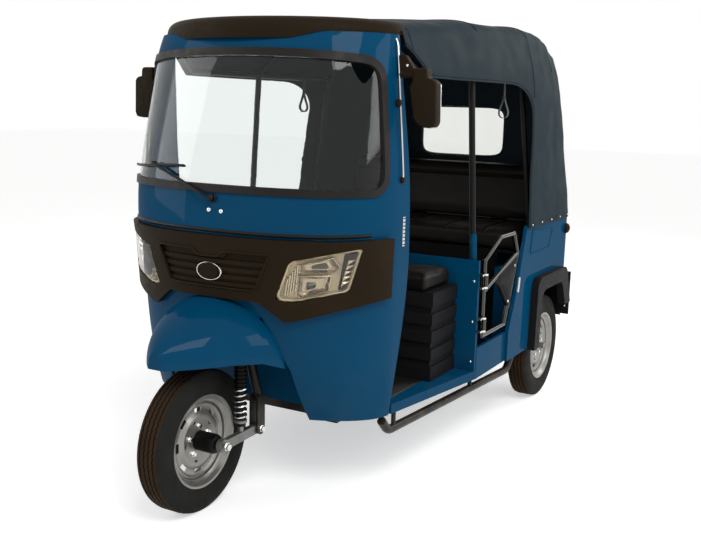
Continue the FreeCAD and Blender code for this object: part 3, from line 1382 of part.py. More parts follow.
# Pins and brackets that carry the door, fixed to the edge of the partition
def door_hinges():
    pieces = []
    for z in DOOR_HINGES_Z:
        reach = HINGE_LENGTH / 2 + HINGE_EAR
        solids = [Part.makeCylinder(HINGE_PIN_RADIUS, reach * 2, V(HINGE_X, HINGE_Y, z - reach), Z_AXIS)]
        for end in (-1, 1):
            z0, z1 = sorted((z + end * (HINGE_LENGTH / 2 + RUNNING_GAP), z + end * reach))
            solids.append(box(PARTITION_HALF, HINGE_X, PARTITION_REAR - PARTITION_THICKNESS,
                              HINGE_Y, z0, z1))
            solids.append(Part.makeCylinder(HINGE_BARREL_RADIUS, z1 - z0, V(HINGE_X, HINGE_Y, z0), Z_AXIS))
        pieces.append(cleaned(fused(solids)))
    return Part.makeCompound(pieces + [mirrored(piece) for piece in pieces])


# How far out the step bar lies at one place along the vehicle
def step_half(place):
    start = STEP_FRONT_Y + STEP_RISE
    return mix(STEP_FRONT_HALF, STEP_REAR_HALF, (place - start) / (STEP_REAR_Y - STEP_RISE - start))


def step_bars():
    points = [
        V(STEP_FRONT_HALF, STEP_FRONT_Y, STEP_Z + STEP_RISE),
        V(STEP_FRONT_HALF, STEP_FRONT_Y + STEP_RISE, STEP_Z),
        V(STEP_REAR_HALF, STEP_REAR_Y - STEP_RISE, STEP_Z),
        V(STEP_REAR_HALF, STEP_REAR_Y, STEP_Z + STEP_RISE),
    ]
    pieces = [bent_tube(points, STEP_RADIUS, STEP_BEND)]
    for share in OUTRIGGER_SHARES:
        place = cross_place(share) + OUTRIGGER_WIDTH / 2
        foot = V(step_half(place), place, STEP_Z)
        pieces.append(rod(foot, V(foot.x, place, RAIL_TOP - OUTRIGGER_HEIGHT), STEP_HANGER_RADIUS))
    return pair(cleaned(fused(pieces)))


def mirrors():
    housing = box(MIRROR_HALF - MIRROR_WIDTH / 2, MIRROR_HALF + MIRROR_WIDTH / 2,
                  MIRROR_Y - MIRROR_THICKNESS / 2, MIRROR_Y + MIRROR_THICKNESS / 2,
                  MIRROR_Z - MIRROR_HEIGHT / 2, MIRROR_Z + MIRROR_HEIGHT / 2)
    housing = housing.makeFillet(MIRROR_THICKNESS / 4, housing.Edges)
    arm = rod(V(MIRROR_HALF, MIRROR_Y, MIRROR_Z), V(MIRROR_HALF - MIRROR_WIDTH, MIRROR_Y, MIRROR_ARM_Z),
              MIRROR_ARM_RADIUS)
    return pair(cleaned(fused([housing, arm]).cut(upper_solid(SEAT_GAP, OVERRUN))))


def wiper():
    nose = SHELL_REAR - SHELL_DEPTH
    pivot = V(0, nose - WIPER_STAND_OFF, WIPER_PIVOT_Z)
    elbow = V(WIPER_TIP_X, nose + WIPER_TIP_BACK, WIPER_TIP_Z)
    left_end = V(WIPER_TIP_X - WIPER_BLADE_HALF, nose + WIPER_LEFT_BACK, WIPER_TIP_Z)
    right_end = V(WIPER_TIP_X + WIPER_BLADE_HALF, nose + WIPER_RIGHT_BACK, WIPER_TIP_Z)
    pieces = [rod(pivot, elbow, WIPER_RADIUS)]
    pieces.append(rod(left_end, elbow, WIPER_RADIUS))
    pieces.append(rod(elbow, right_end, WIPER_RADIUS))
    pieces.append(Part.makeSphere(WIPER_RADIUS, elbow))
    pieces.append(Part.makeSphere(WIPER_RADIUS, pivot))
    pieces.append(rod(pivot, V(0, nose + SHELL_WALL, WIPER_PIVOT_Z), WIPER_RADIUS))
    return cleaned(fused(pieces).cut(upper_solid(SEAT_GAP, OVERRUN)))


def tail_lamps():
    lens = box(TAIL_LAMP_INNER, REAR_HALF - TAIL_LAMP_INSET, REAR_END, REAR_END + TAIL_LAMP_PROUD,
               TAIL_LAMP_BOTTOM, TAIL_LAMP_TOP)
    return pair(lens)


def rear_bumper():
    bar_y = BUMPER_REAR - BUMPER_RADIUS
    bar = rod(V(-BUMPER_HALF, bar_y, BUMPER_Z), V(BUMPER_HALF, bar_y, BUMPER_Z), BUMPER_RADIUS)
    pieces = [bar]
    for side in (-1, 1):
        pieces.append(rod(V(side * RAIL_HALF, RAIL_REAR, RAIL_TOP - RAIL_HEIGHT / 2),
                          V(side * RAIL_HALF, bar_y, BUMPER_Z), BUMPER_RADIUS))
    return cleaned(fused(pieces).cut(chassis()))


def engine():
    low = RAIL_TOP + ENGINE_PAD_HEIGHT
    block = box(-ENGINE_WIDTH / 2, ENGINE_WIDTH / 2, ENGINE_FRONT, ENGINE_FRONT + ENGINE_LENGTH,
                low, low + ENGINE_HEIGHT)
    pads = []
    for side in (-1, 1):
        x0 = side * ENGINE_WIDTH / 2 - side * CROSS_WIDTH / 2 - CROSS_WIDTH / 2
        for ahead in ENGINE_CROSS_AHEAD:
            place = engine_cross_place(ahead)
            pads.append(box(x0, x0 + CROSS_WIDTH, place, place + CROSS_WIDTH, RAIL_TOP, low))
    return fused([block] + pads)


def rear_axle():
    half = REAR_TRACK_HALF - HUB_WIDTH / 2 - RUNNING_GAP
    beam = Part.makeCylinder(AXLE_RADIUS, half * 2, V(-half, WHEELBASE, WHEEL_HEIGHT), X_AXIS)
    spindle_half = REAR_TRACK_HALF + HUB_WIDTH / 2
    spindle = Part.makeCylinder(REAR_SPINDLE_RADIUS, spindle_half * 2,
                                V(-spindle_half, WHEELBASE, WHEEL_HEIGHT), X_AXIS)
    casing = Part.makeCylinder(DIFF_RADIUS, DIFF_WIDTH, V(-DIFF_WIDTH / 2, WHEELBASE, WHEEL_HEIGHT), X_AXIS)
    pieces = [beam, spindle, casing]
    for side in (-1, 1):
        hub = V(side * ARM_HALF, WHEELBASE, WHEEL_HEIGHT)
        pivot = V(side * ARM_HALF, ARM_FRONT, RAIL_TOP - RAIL_HEIGHT / 2)
        pieces.append(rod(hub, pivot, ARM_RADIUS))
        eye = V(side * (RAIL_HALF + RAIL_WIDTH / 2), ARM_FRONT, pivot.z)
        pieces.append(rod(eye, V(side * (ARM_HALF + ARM_RADIUS), ARM_FRONT, pivot.z), ARM_RADIUS))
        foot = V(side * DAMPER_HALF, WHEELBASE, WHEEL_HEIGHT)
        pieces.append(rod(foot, V(side * DAMPER_HALF, WHEELBASE, TOWER_TOP), DAMPER_RADIUS))
    return cleaned(fused(pieces))


def dashboard():
    block = box(-DASH_HALF, DASH_HALF, 0, SHELL_REAR, DASH_BOTTOM, DASH_TOP)
    block = block.common(lower_solid(-SHELL_WALL - SEAT_GAP))
    nose = SHELL_REAR - SHELL_DEPTH
    behind = box(-DASH_HALF, DASH_HALF, nose + DASH_DEPTH, SHELL_REAR + OVERRUN,
                 DASH_BOTTOM - OVERRUN, DASH_TOP + OVERRUN)
    return cleaned(block.cut(behind))


def grab_straps():
    inner = RAIL_TOP_HALF - STRAP_THICKNESS / 2
    top = TOP_RAIL_Z - BOW_RADIUS
    loop = box(inner, inner + STRAP_THICKNESS, STRAP_Y, STRAP_Y + STRAP_WIDTH, top - STRAP_LENGTH, top)
    return pair(loop)


def export(name, shape):
    moved = shape.copy()
    moved.translate(V(0, -ORIGIN_BACK, 0))
    if not moved.isValid():
        print("not valid:", name)
    moved.exportStep("parts/" + name + ".step")


def main():
    os.makedirs("parts", exist_ok=True)
    export("chassis", chassis())
    export("steering_head", steering_head())
    export("damper_towers", damper_towers())
    export("floor_pan", cleaned(floor_pan().cut(down_tube())))
    export("lower_front_shell", lower_front_shell())
    export("front_mask", front_mask())
    export("headlamps", headlamps())
    export("upper_front_shell", upper_front_shell())
    export("windscreen_seal", windscreen_seal())
    export("windscreen_glass", windscreen_glass())
    export("front_mudguard", front_mudguard())
    export("roof_visor", roof_visor())
    export("partition", partition())
    export("driver_seat_base", driver_seat_base())
    export("driver_seat_cushion", driver_seat_cushion())
    export("passenger_seat_base", passenger_seat_base())
    export("passenger_cushion", passenger_cushion())
    export("passenger_backrest", passenger_backrest())
    export("rear_body", rear_body())
    export("wheel_flares", wheel_flares())
    export("mud_panels", mud_panels())
    export("rear_lid", rear_lid())
    export("canopy", canopy())
    export("rear_window", rear_window())
    export("canopy_frame", canopy_frame())
    export("step_bars", step_bars())
    export("mirrors", mirrors())
    export("wiper", wiper())
    export("tail_lamps", tail_lamps())
    export("rear_bumper", rear_bumper())
    export("engine", engine())
    export("rear_axle", rear_axle())
    export("dashboard", dashboard())
    export("grab_straps", grab_straps())
    export("door_hinges", door_hinges())
    export("front_fork", front_fork())
    export("leading_links", leading_links())
    export("front_shocks", front_shocks())
    export("handlebar", handlebar())
    export("front_tyre", placed(tyre(TYRE_WIDTH), 0, 0, WHEEL_HEIGHT))
    export("front_rim", placed(rim(FRONT_PIN_RADIUS + PIN_CLEARANCE), 0, 0, WHEEL_HEIGHT))
    rear_rim = rim(REAR_SPINDLE_RADIUS + PIN_CLEARANCE)
    left_pieces = [
        ("rear_tyre", placed(tyre(TYRE_WIDTH), REAR_TRACK_HALF, WHEELBASE, WHEEL_HEIGHT)),
        ("rear_rim", placed(rear_rim, REAR_TRACK_HALF, WHEELBASE, WHEEL_HEIGHT)),
        ("door_frame", door_frame()),
        ("door_panel", door_panel()),
    ]
    for name, shape in left_pieces:
        export(name + "_left", shape)
        export(name + "_right", mirrored(shape))


main()
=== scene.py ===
import json
import math
from math import cos, pi, sin

import bmesh
import bpy
from mathutils import Matrix, Vector, noise
from mathutils.bvhtree import BVHTree


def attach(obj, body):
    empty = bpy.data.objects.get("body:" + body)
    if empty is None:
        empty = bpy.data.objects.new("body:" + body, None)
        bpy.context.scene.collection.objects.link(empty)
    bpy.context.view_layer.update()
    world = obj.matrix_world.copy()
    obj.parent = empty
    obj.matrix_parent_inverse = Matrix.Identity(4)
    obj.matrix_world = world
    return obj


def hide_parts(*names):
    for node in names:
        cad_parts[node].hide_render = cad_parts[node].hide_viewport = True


# Auto rickshaw, dressed over its CAD frame. Metres; front faces -Y, left is +X.
# "Back" is the distance behind the front axle, as in the CAD source.
FRONT_AXLE = -1.0605
WHEELBASE = 1.992
TYRE_RADIUS = 0.254
REAR_TRACK_HALF = 0.561
SIDES = ((1, "left"), (-1, "right"))

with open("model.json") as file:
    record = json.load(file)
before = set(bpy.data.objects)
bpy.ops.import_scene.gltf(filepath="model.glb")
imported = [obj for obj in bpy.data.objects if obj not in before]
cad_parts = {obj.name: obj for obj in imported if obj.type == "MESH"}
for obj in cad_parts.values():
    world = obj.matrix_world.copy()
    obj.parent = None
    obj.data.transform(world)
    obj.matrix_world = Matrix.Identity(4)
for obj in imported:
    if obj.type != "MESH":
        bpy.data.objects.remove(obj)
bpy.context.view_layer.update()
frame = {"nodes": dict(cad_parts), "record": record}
NODES = frame["nodes"]


def at(x, back, z):
    return Vector((x, back + FRONT_AXLE, z))


def mix(start, end, share):
    return start + (end - start) * share


def smooth(share):
    share = min(max(share, 0), 1)
    return share * share * (3 - 2 * share)


def linear(red, green, blue):
    parts = [value / 255 for value in (red, green, blue)]
    return (*(part / 12.92 if part <= 0.04045 else ((part + 0.055) / 1.055) ** 2.4 for part in parts), 1)


# Shader building; an owner is a material or a world

def new_material(name, colour, sockets):
    mat = bpy.data.materials.new(name)
    mat.use_nodes = True
    mat.diffuse_color = colour
    for key, value in {"Base Color": colour, **sockets}.items():
        shader_input(mat, key.replace("_", " ")).default_value = value
    return mat


def shader_input(mat, name):
    return mat.node_tree.nodes["Principled BSDF"].inputs[name]


def add_node(owner, kind, **values):
    node = owner.node_tree.nodes.new(kind)
    for key, value in values.items():
        name = key.replace("_", " ")
        if name in node.inputs:
            node.inputs[name].default_value = value
        else:
            setattr(node, key, value)
    return node


def link(owner, source, target):
    owner.node_tree.links.new(source, target)


def ramp(owner, source, low, high, first=0, last=1):
    node = add_node(owner, "ShaderNodeMapRange", From_Min=low, From_Max=high, To_Min=first, To_Max=last)
    link(owner, source, node.inputs["Value"])
    return node.outputs["Result"]


def two_sockets(owner, operation, first, second):
    node = add_node(owner, "ShaderNodeMath", operation=operation)
    link(owner, first, node.inputs[0])
    link(owner, second, node.inputs[1])
    return node.outputs["Value"]


# One axis of the object's own place or normal
def along_axis(mat, kind, axis):
    parts = add_node(mat, "ShaderNodeSeparateXYZ")
    link(mat, add_node(mat, "ShaderNodeTexCoord").outputs[kind], parts.inputs["Vector"])
    return parts.outputs[axis]


# Noise over the object's own place, or with no detail the distance to scattered cells
def field(mat, scale, detail, stretch=(1, 1, 1)):
    scaler = add_node(mat, "ShaderNodeMapping", Scale=stretch)
    link(mat, add_node(mat, "ShaderNodeTexCoord").outputs["Object"], scaler.inputs["Vector"])
    if detail is None:
        node, result = add_node(mat, "ShaderNodeTexVoronoi", Scale=scale), "Distance"
    else:
        node, result = add_node(mat, "ShaderNodeTexNoise", Scale=scale, Detail=detail), "Fac"
    link(mat, scaler.outputs["Vector"], node.inputs["Vector"])
    return node.outputs[result]


# Mixes the base colour towards another one where the source is high
def tint(mat, source, colour):
    mixer = add_node(mat, "ShaderNodeMix", data_type="RGBA")
    base = shader_input(mat, "Base Color")
    if base.is_linked:
        link(mat, base.links[0].from_socket, mixer.inputs[6])
    else:
        mixer.inputs[6].default_value = base.default_value
    mixer.inputs[7].default_value = colour
    link(mat, source, mixer.inputs["Factor"])
    link(mat, mixer.outputs[2], base)


# Layers of the finishes

def stain(mat, colour, scale, detail, low, high, most):
    tint(mat, ramp(mat, field(mat, scale, detail), low, high, 0, most), linear(*colour))


def roughen(mat, scale, detail, low, high):
    link(mat, ramp(mat, field(mat, scale, detail), 0.3, 0.7, low, high), shader_input(mat, "Roughness"))


def bump(mat, scale, detail, strength, distance, stretch=(1, 1, 1)):
    node = add_node(mat, "ShaderNodeBump", Strength=strength, Distance=distance)
    link(mat, field(mat, scale, detail, stretch), node.inputs["Height"])
    normal = shader_input(mat, "Normal")
    if normal.is_linked:
        link(mat, normal.links[0].from_socket, node.inputs["Normal"])
    link(mat, node.outputs["Normal"], normal)


# Dust that lies thicker near the ground
def low_dust(mat, colour, bottom, top, most):
    height = ramp(mat, along_axis(mat, "Object", "Z"), bottom, top, most, 0)
    speckle = ramp(mat, field(mat, 9, 8), 0.35, 0.7)
    tint(mat, two_sockets(mat, "MULTIPLY", height, speckle), linear(*colour))


# A tyre's flanks face sideways, and have none of the tread's dirt
def clean_flanks(mat, colour):
    sideways = add_node(mat, "ShaderNodeMath", operation="ABSOLUTE")
    link(mat, along_axis(mat, "Normal", "X"), sideways.inputs[0])
    tint(mat, ramp(mat, sideways.outputs["Value"], 0.4, 0.8), linear(*colour))


def plastic(base, worn):
    return (base, dict(Roughness=0.5, Specular_IOR_Level=0.04), (roughen, 60, 4, 0.44, 0.6),
            (bump, 900, None, 0.18, 0.0004), (stain, worn, 5, 5, 0.5, 0.8, 0.25))


# Colour as written in sRGB, shader sockets, then the layers in their order
FINISHES = {
    "body_paint": ((3, 68, 102), dict(Roughness=0.24, Coat_Weight=0.12, Coat_Roughness=0.03, Specular_IOR_Level=0),
        (stain, (2, 54, 86), 2.5, 3, 0.4, 0.75, 0.25), (bump, 320, 2, 0.05, 0.0004),
        (low_dust, (80, 100, 108), 0.28, 0.62, 0.12)),
    "black_plastic": plastic((38, 30, 20), (58, 47, 33)),
    "cool_plastic": plastic((28, 28, 29), (44, 43, 42)),
    "canopy_vinyl": ((42, 52, 57), dict(Roughness=0.44, Specular_IOR_Level=0.01), (bump, 420, None, 0.35, 0.0006),
        (bump, 7, 3, 0.18, 0.004), (stain, (56, 66, 72), 3, 6, 0.45, 0.8, 0.35),
        (roughen, 11, 4, 0.42, 0.58)),
    "seat_vinyl": ((20, 16, 12), dict(Roughness=0.42, Specular_IOR_Level=0.15), (bump, 520, None, 0.5, 0.0007),
        (roughen, 14, 4, 0.36, 0.55), (stain, (32, 26, 20), 6, 6, 0.5, 0.8, 0.4)),
    "frame_black": ((14, 13, 13), dict(Roughness=0.36, Specular_IOR_Level=0.15), (bump, 240, 3, 0.15, 0.0005),
        (low_dust, (112, 101, 88), 0.1, 0.5, 0.5)),
    "silver_paint": ((140, 138, 133), dict(Roughness=0.36, Metallic=0.7), (roughen, 30, 5, 0.28, 0.46),
        (stain, (118, 110, 100), 14, 8, 0.52, 0.75, 0.4), (bump, 380, 2, 0.1, 0.0003)),
    "chrome": ((214, 214, 212), dict(Roughness=0.12, Metallic=1), (roughen, 40, 4, 0.08, 0.2)),
    # Chrome with a dark base colour, a painted reflection of dark surroundings, as on the door loops
    "chrome_painted_dark_reflection": ((66, 65, 62), dict(Roughness=0.14, Metallic=1), (roughen, 40, 4, 0.1, 0.2)),
    "cast_steel": ((122, 122, 120), dict(Roughness=0.42, Metallic=0.85), (roughen, 50, 4, 0.32, 0.55),
        (bump, 160, 4, 0.25, 0.0008), (stain, (84, 74, 62), 18, 6, 0.5, 0.75, 0.5)),
    "tyre_rubber": ((46, 34, 22), dict(Roughness=0.78, Specular_IOR_Level=0.08),
        (stain, (74, 52, 30), 6, 8, 0.4, 0.75, 0.5), (clean_flanks, (34, 34, 32)),
        (bump, 500, 3, 0.3, 0.0006), (roughen, 25, 5, 0.66, 0.9)),
    "seal_rubber": ((20, 17, 13), dict(Roughness=0.42, Specular_IOR_Level=0.2), (roughen, 22, 4, 0.38, 0.58),
        (bump, 260, 2, 0.12, 0.0005)),
    "clear_glass": ((236, 242, 240), dict(Roughness=0.02, Transmission_Weight=1, IOR=1.28),
        (roughen, 3, 3, 0.01, 0.035)),
    "clear_window": ((232, 234, 230), dict(Roughness=0.1, Transmission_Weight=1, IOR=1.3), (bump, 9, 3, 0.3, 0.004)),
    "lamp_lens": ((246, 247, 244), dict(Roughness=0.02, Transmission_Weight=1, IOR=1.35),
        (bump, 30, 2, 0.05, 0.001)),
    "reflector": ((176, 160, 134), dict(Roughness=0.16, Metallic=0.8), (roughen, 90, 3, 0.1, 0.3)),
    "lamp_border": ((204, 184, 144), dict(Roughness=0.22, Coat_Weight=0.3),
        (stain, (182, 160, 120), 40, 3, 0.45, 0.7, 0.2)),
    "lamp_eye": ((48, 37, 28), dict(Roughness=0.08, Metallic=0.3, Coat_Weight=0.6), (bump, 240, None, 0.25, 0.001)),
    "turn_amber": ((196, 88, 10), dict(Roughness=0.16, Coat_Weight=0.6), (bump, 160, None, 0.5, 0.002)),
    "tail_red": ((150, 12, 14), dict(Roughness=0.16, Coat_Weight=0.6), (bump, 160, None, 0.5, 0.002)),
    "engine_metal": ((96, 96, 94), dict(Roughness=0.5, Metallic=0.6), (bump, 90, 4, 0.4, 0.002),
        (low_dust, (92, 82, 70), 0.2, 0.6, 0.6)),
    "strap_web": ((62, 64, 66), dict(Roughness=0.8, Sheen_Weight=0.2), (bump, 700, None, 0.6, 0.0008, (1, 1, 3))),
    "spring_black": ((14, 13, 13), dict(Roughness=0.3, Specular_IOR_Level=0.1), (roughen, 40, 4, 0.24, 0.42)),
}
# Slots of the record that aren't called as their finish is
SLOTS = {"body_blue": "body_paint", "trim_black": "black_plastic", "rim_silver": "silver_paint",
        "bright_chrome": "chrome", "steel_grey": "cast_steel"}


def finish(name, colour, sockets, *layers):
    mat = new_material(name, linear(*colour), sockets)
    for layer, *values in layers:
        layer(mat, *values)
    return mat


MATERIALS = {name: finish(name, *row) for name, row in FINISHES.items()}
for slot_name, finish_name in SLOTS.items():
    MATERIALS[slot_name] = MATERIALS[finish_name]


def new_object(name, data):
    obj = bpy.data.objects.new(name, data)
    bpy.context.scene.collection.objects.link(obj)
    return obj


def stand_for(node, *pieces):
    for piece in pieces:
        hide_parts(node)


# Mesh building; a look is the name of a finish other than the slot's own

def new_piece(name, verts, faces, slot, body="root", look=None, soft=35):
    mesh = bpy.data.meshes.new(name)
    mesh.from_pydata([tuple(v) for v in verts], [], faces)
    mesh.update()
    mesh.materials.append(MATERIALS[look or slot])
    piece = new_object(name, mesh)
    if soft:
        shade(piece, soft)
    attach(piece, body)
    return piece


# Smooth faces, with edges kept that are sharper than the angle
def shade(piece, angle_deg=35):
    for poly in piece.data.polygons:
        poly.use_smooth = True
    bpy.context.view_layer.objects.active = piece
    with bpy.context.temp_override(object=piece, active_object=piece, selected_editable_objects=[piece]):
        bpy.ops.object.shade_smooth_by_angle(angle=math.radians(angle_deg))


def apply_modifier(piece, kind, **values):
    modifier = piece.modifiers.new(kind.title(), kind)
    for key, value in values.items():
        setattr(modifier, key, value)
    depsgraph = bpy.context.evaluated_depsgraph_get()
    mesh = bpy.data.meshes.new_from_object(piece.evaluated_get(depsgraph))
    piece.modifiers.clear()
    piece.data = mesh
    return piece


def weld(piece, distance=0.00002):
    mesh = bmesh.new()
    mesh.from_mesh(piece.data)
    bmesh.ops.remove_doubles(mesh, verts=mesh.verts, dist=distance)
    bmesh.ops.dissolve_degenerate(mesh, edges=mesh.edges, dist=distance)
    bmesh.ops.recalc_face_normals(mesh, faces=mesh.faces)
    mesh.to_mesh(piece.data)
    mesh.free()


# Even angles round a full turn
def turns(count):
    return [2 * pi * i / count for i in range(count)]


# Quads between rings of points, row by row; wrapped, the last ring meets the first
def bands(rings, size, wrapped=False, closed=True):
    faces = []
    for r in range(rings if wrapped else rings - 1):
        low, high = r * size, (r + 1) % rings * size
        for i in range(size if closed else size - 1):
            on = (i + 1) % size
            faces.append((low + i, low + on, high + on, high + i))
    return faces


# A form through rings of points, with a cap at each end unless it is wrapped
def loft(name, rings, slot, body="root", look=None, soft=35, wrapped=False, flip=False):
    verts = [point for ring in rings for point in ring]
    size = len(rings[0])
    faces = bands(len(rings), size, wrapped)
    if not wrapped:
        faces += [tuple(range(len(verts) - size, len(verts))), tuple(reversed(range(size)))]
    if flip:
        faces = [face[::-1] for face in faces]
    return new_piece(name, verts, faces, slot, body, look, soft)


# Turns an outline of (x, radius) points about the wheel's axle
def spin(name, outline, centre, count, slot, body, side=1, closed=True, wave=None, keep=None):
    verts = []
    for i, angle in enumerate(turns(count)):
        for j, (x, radius) in enumerate(outline):
            shift = wave(i, j) if wave else 0
            verts.append(centre + Vector((side * (x + shift), radius * sin(angle), radius * cos(angle))))
    size = len(outline)
    faces = [face for face in bands(count, size, True, closed) if not keep or keep(*divmod(face[0], size))]
    if side < 0:
        faces = [face[::-1] for face in faces]
    return new_piece(name, verts, faces, slot, body)


TREAD_GROOVES = (-0.027, -0.009, 0.009, 0.027)
TREAD_RADIUS = 0.2535
TREAD_STEPS = 288


def tyre(node, centre, body):
    flank = [(-0.036, 0.159), (-0.043, 0.163), (-0.0475, 0.176), (-0.0505, 0.192), (-0.0515, 0.207), (-0.0505, 0.222),
            (-0.0478, 0.233), (-0.0475, 0.2345), (-0.0455, 0.2405), (-0.0415, 0.2485), (-0.0395, 0.251)]
    tread = []
    for groove in TREAD_GROOVES:
        tread += [(groove - 0.0028, TREAD_RADIUS), (groove - 0.002, TREAD_RADIUS - 0.006),
                (groove + 0.002, TREAD_RADIUS - 0.006), (groove + 0.0028, TREAD_RADIUS)]
    inner = [(0.03, 0.164), (0, 0.168), (-0.03, 0.164)]
    outline = flank + tread + [(-x, radius) for x, radius in reversed(flank)] + inner

    def zigzag(i, j):
        if len(flank) <= j < len(flank) + len(tread):
            return 0.0011 if i // 2 % 2 else -0.0011
        return 0

    stand_for(node, spin("tread_" + node, outline, centre, TREAD_STEPS, "tyre_rubber", body, wave=zigzag))


RIM_WELL = [(-0.044, 0.166), (-0.0462, 0.1655), (-0.0445, 0.158), (-0.038, 0.154), (-0.03, 0.153), (-0.024, 0.139),
        (0.004, 0.137), (0.024, 0.139), (0.03, 0.149), (0.036, 0.1525), (0.0445, 0.158), (0.0462, 0.1655),
        (0.044, 0.166), (0.041, 0.161), (0.034, 0.158), (0.028, 0.157), (0.02, 0.1445), (-0.02, 0.1445),
        (-0.028, 0.157), (-0.041, 0.161)]
RIM_FACE = [(0.016, 0.1395), (0.0205, 0.1345), (0.0215, 0.13), (0.0165, 0.1245), (0.0135, 0.118), (0.0135, 0.11),
        (0.0145, 0.1035), (0.0195, 0.0975), (0.0235, 0.092), (0.024, 0.086), (0.0215, 0.078), (0.02, 0.07),
        (0.0195, 0.058), (0.0195, 0.042), (0.0195, 0.03)]
BRAKE_DRUM = [(0.01, 0.03), (0.01, 0.084), (0.004, 0.088), (-0.028, 0.088), (-0.031, 0.084), (-0.031, 0.03)]
NUT_CIRCLE = 0.052
WHEEL_NUTS = 5
DISC_THICKNESS = 0.0035


def rim(node, centre, body, side):
    def not_in_slot(i, j):
        outer = j in (4, 5) and (i + 4) % 20 < 8
        inner = j == 10 and (i + 12) % 32 < 5
        return not (outer or inner)

    well = spin("rim_well_" + node, RIM_WELL, centre, 120, "rim_silver", body, side)
    disc = spin("rim_disc_" + node, RIM_FACE, centre, 160, "rim_silver", body, side, closed=False, keep=not_in_slot)
    apply_modifier(disc, "SOLIDIFY", thickness=DISC_THICKNESS, offset=-1)
    shade(disc)
    drum = spin("brake_drum_" + node, BRAKE_DRUM, centre, 72, "frame_black", body, side)
    stand_for(node, well, disc, drum)
    for i, angle in enumerate(turns(WHEEL_NUTS)):
        place = centre + Vector((side * RIM_FACE[-1][0], NUT_CIRCLE * sin(angle), NUT_CIRCLE * cos(angle)))
        hex_nut("wheel_nut_%d_%s" % (i, node), place, outward(side), 0.0085, 0.009, body)


def outward(side):
    return Vector((side, 0, 0))


def turned_frame(direction):
    forward = Vector(direction).normalized()
    side = forward.orthogonal().normalized()
    return side, forward.cross(side), forward


# A closed turned form along a direction: outline of (distance, radius)
def turning(name, start, direction, outline, slot, body="root", count=32):
    side, up, forward = turned_frame(direction)
    rings = []
    for distance, radius in outline:
        rings.append([start + forward * distance + (side * cos(angle) + up * sin(angle)) * radius
                for angle in turns(count)])
    return loft(name, rings, slot, body)


def hex_nut(name, start, direction, radius, height, body):
    outline = [(0, radius * 1.25), (height * 0.15, radius * 1.25), (height * 0.16, radius), (height * 0.9, radius),
            (height, radius * 0.86)]
    turning(name, start, direction, outline, "bright_chrome", body, count=6)


def screw_head(name, start, direction, radius=0.006, body="root"):
    profile = [(0, 1), (0.3, 0.96), (0.5, 0.8), (0.62, 0.45), (0.62, 0.3), (0.4, 0.28)]
    outline = [(radius * depth, radius * share) for depth, share in profile]
    return turning(name, start, direction, outline, "bright_chrome", body, count=18)


# A round tube along points, rounded at its corners
def tube(name, points, radius, slot, body="root", closed=False, count=16, bends=0.05):
    path = rounded_path([Vector(point) for point in points], bends, closed)
    size = len(path)
    rings = []
    normal = None
    for i, point in enumerate(path):
        ahead = path[(i + 1) % size] if closed or i + 1 < size else point
        behind = path[i - 1] if closed or i > 0 else point
        along = (ahead - behind).normalized()
        if normal is None:
            normal = along.orthogonal().normalized()
        normal = (normal - along * normal.dot(along)).normalized()
        across = along.cross(normal)
        rings.append([point + (normal * cos(angle) + across * sin(angle)) * radius
                for angle in turns(count)])
    return loft(name, rings, slot, body, wrapped=closed)


# Rounds each corner of a path with a short curve
def rounded_path(points, bend, closed, steps=7):
    size = len(points)
    path = []
    for i, here in enumerate(points):
        if not closed and i in (0, size - 1):
            path.append(here)
            continue
        before = points[i - 1] - here
        after = points[(i + 1) % size] - here
        reach = min(bend, before.length * 0.45, after.length * 0.45)
        start = here + before.normalized() * reach
        end = here + after.normalized() * reach
        for k in range(steps + 1):
            share = k / steps
            path.append(start * (1 - share) ** 2 + here * 2 * share * (1 - share) + end * share * share)
    return path


def rounded(outline, radius, steps=5):
    return [tuple(point) for point in rounded_path([Vector(point) for point in outline], radius, True, steps)]


def coil(name, low, high, radius, wire, rounds, slot, body):
    side, up, forward = turned_frame(high - low)
    length = (high - low).length
    steps = rounds * 20
    points = []
    for i in range(steps + 1):
        share = i / steps
        angle = 2 * pi * rounds * share
        points.append(low + forward * length * share + (side * cos(angle) + up * sin(angle)) * radius)
    return tube(name, points, wire, slot, body, count=8, bends=0.0001)


# Canopy: one sewn vinyl cover over the bows, with the side openings and the rear window left out

# Distance share, hem width share, shoulder width share, crown drop
CANOPY_ROWS = [
    (0, 0.93, 0.93, 0.35), (0.15, 0.96, 0.96, 0.23), (0.33, 0.99, 0.99, 0.1),
    (0.5, 1, 1, 0.05), (0.66, 1, 1, 0), (0.775, 1, 0.995, 0),
    (0.865, 1, 0.975, 0.18), (0.93, 1, 0.95, 0.33), (0.965, 0.994, 0.925, 0.46),
    (0.988, 0.958, 0.89, 0.64), (1, 0.905, 0.84, 0.88),
]
CANOPY_FRONT = 0.52
CANOPY_REAR = 2.3
FULL_DROP = 0.21
CROWN_Z = 1.794
EDGE_Z = 1.771
SHOULDER_Z = 1.5
BOTTOM_Z = 0.878
HEM_HALF = 0.632
SHOULDER_HALF = 0.59
EDGE_HALF = 0.5
# The side opening: its slanted start, its top edge, the corner's arc and the leaning rear edge
FRONT_FOOT_Z = 1.625
BAND_START = 0.655
BAND_Z = 1.522
HEM_Z = 0.884
CORNER = 0.13
ARC_START = 1.4
OPENING_REAR = 1.69
OPENING_FOOT = 0.896
OPENING_LEAN = 0.079
TAIL_BEND = 2.18
ROOF_ROWS = 44
DIP_ROWS = 6
SIDE_ROWS = 18
BOWS = (0.52, 1.118, 1.72, 2.02)
# Distance back and lowest height
ROOF_SEAMS = ((0.56, 1.61), (1.118, 1.715), (1.702, 1.47), (2.02, 1.6))
WELT = 0.012
SEAM_RADIUS = 0.0024
COVER_THICKNESS = 0.0028
SAG = 0.007
FOLD = 0.004
FINE_FOLD = 0.0018
HEM_STUDS = 5


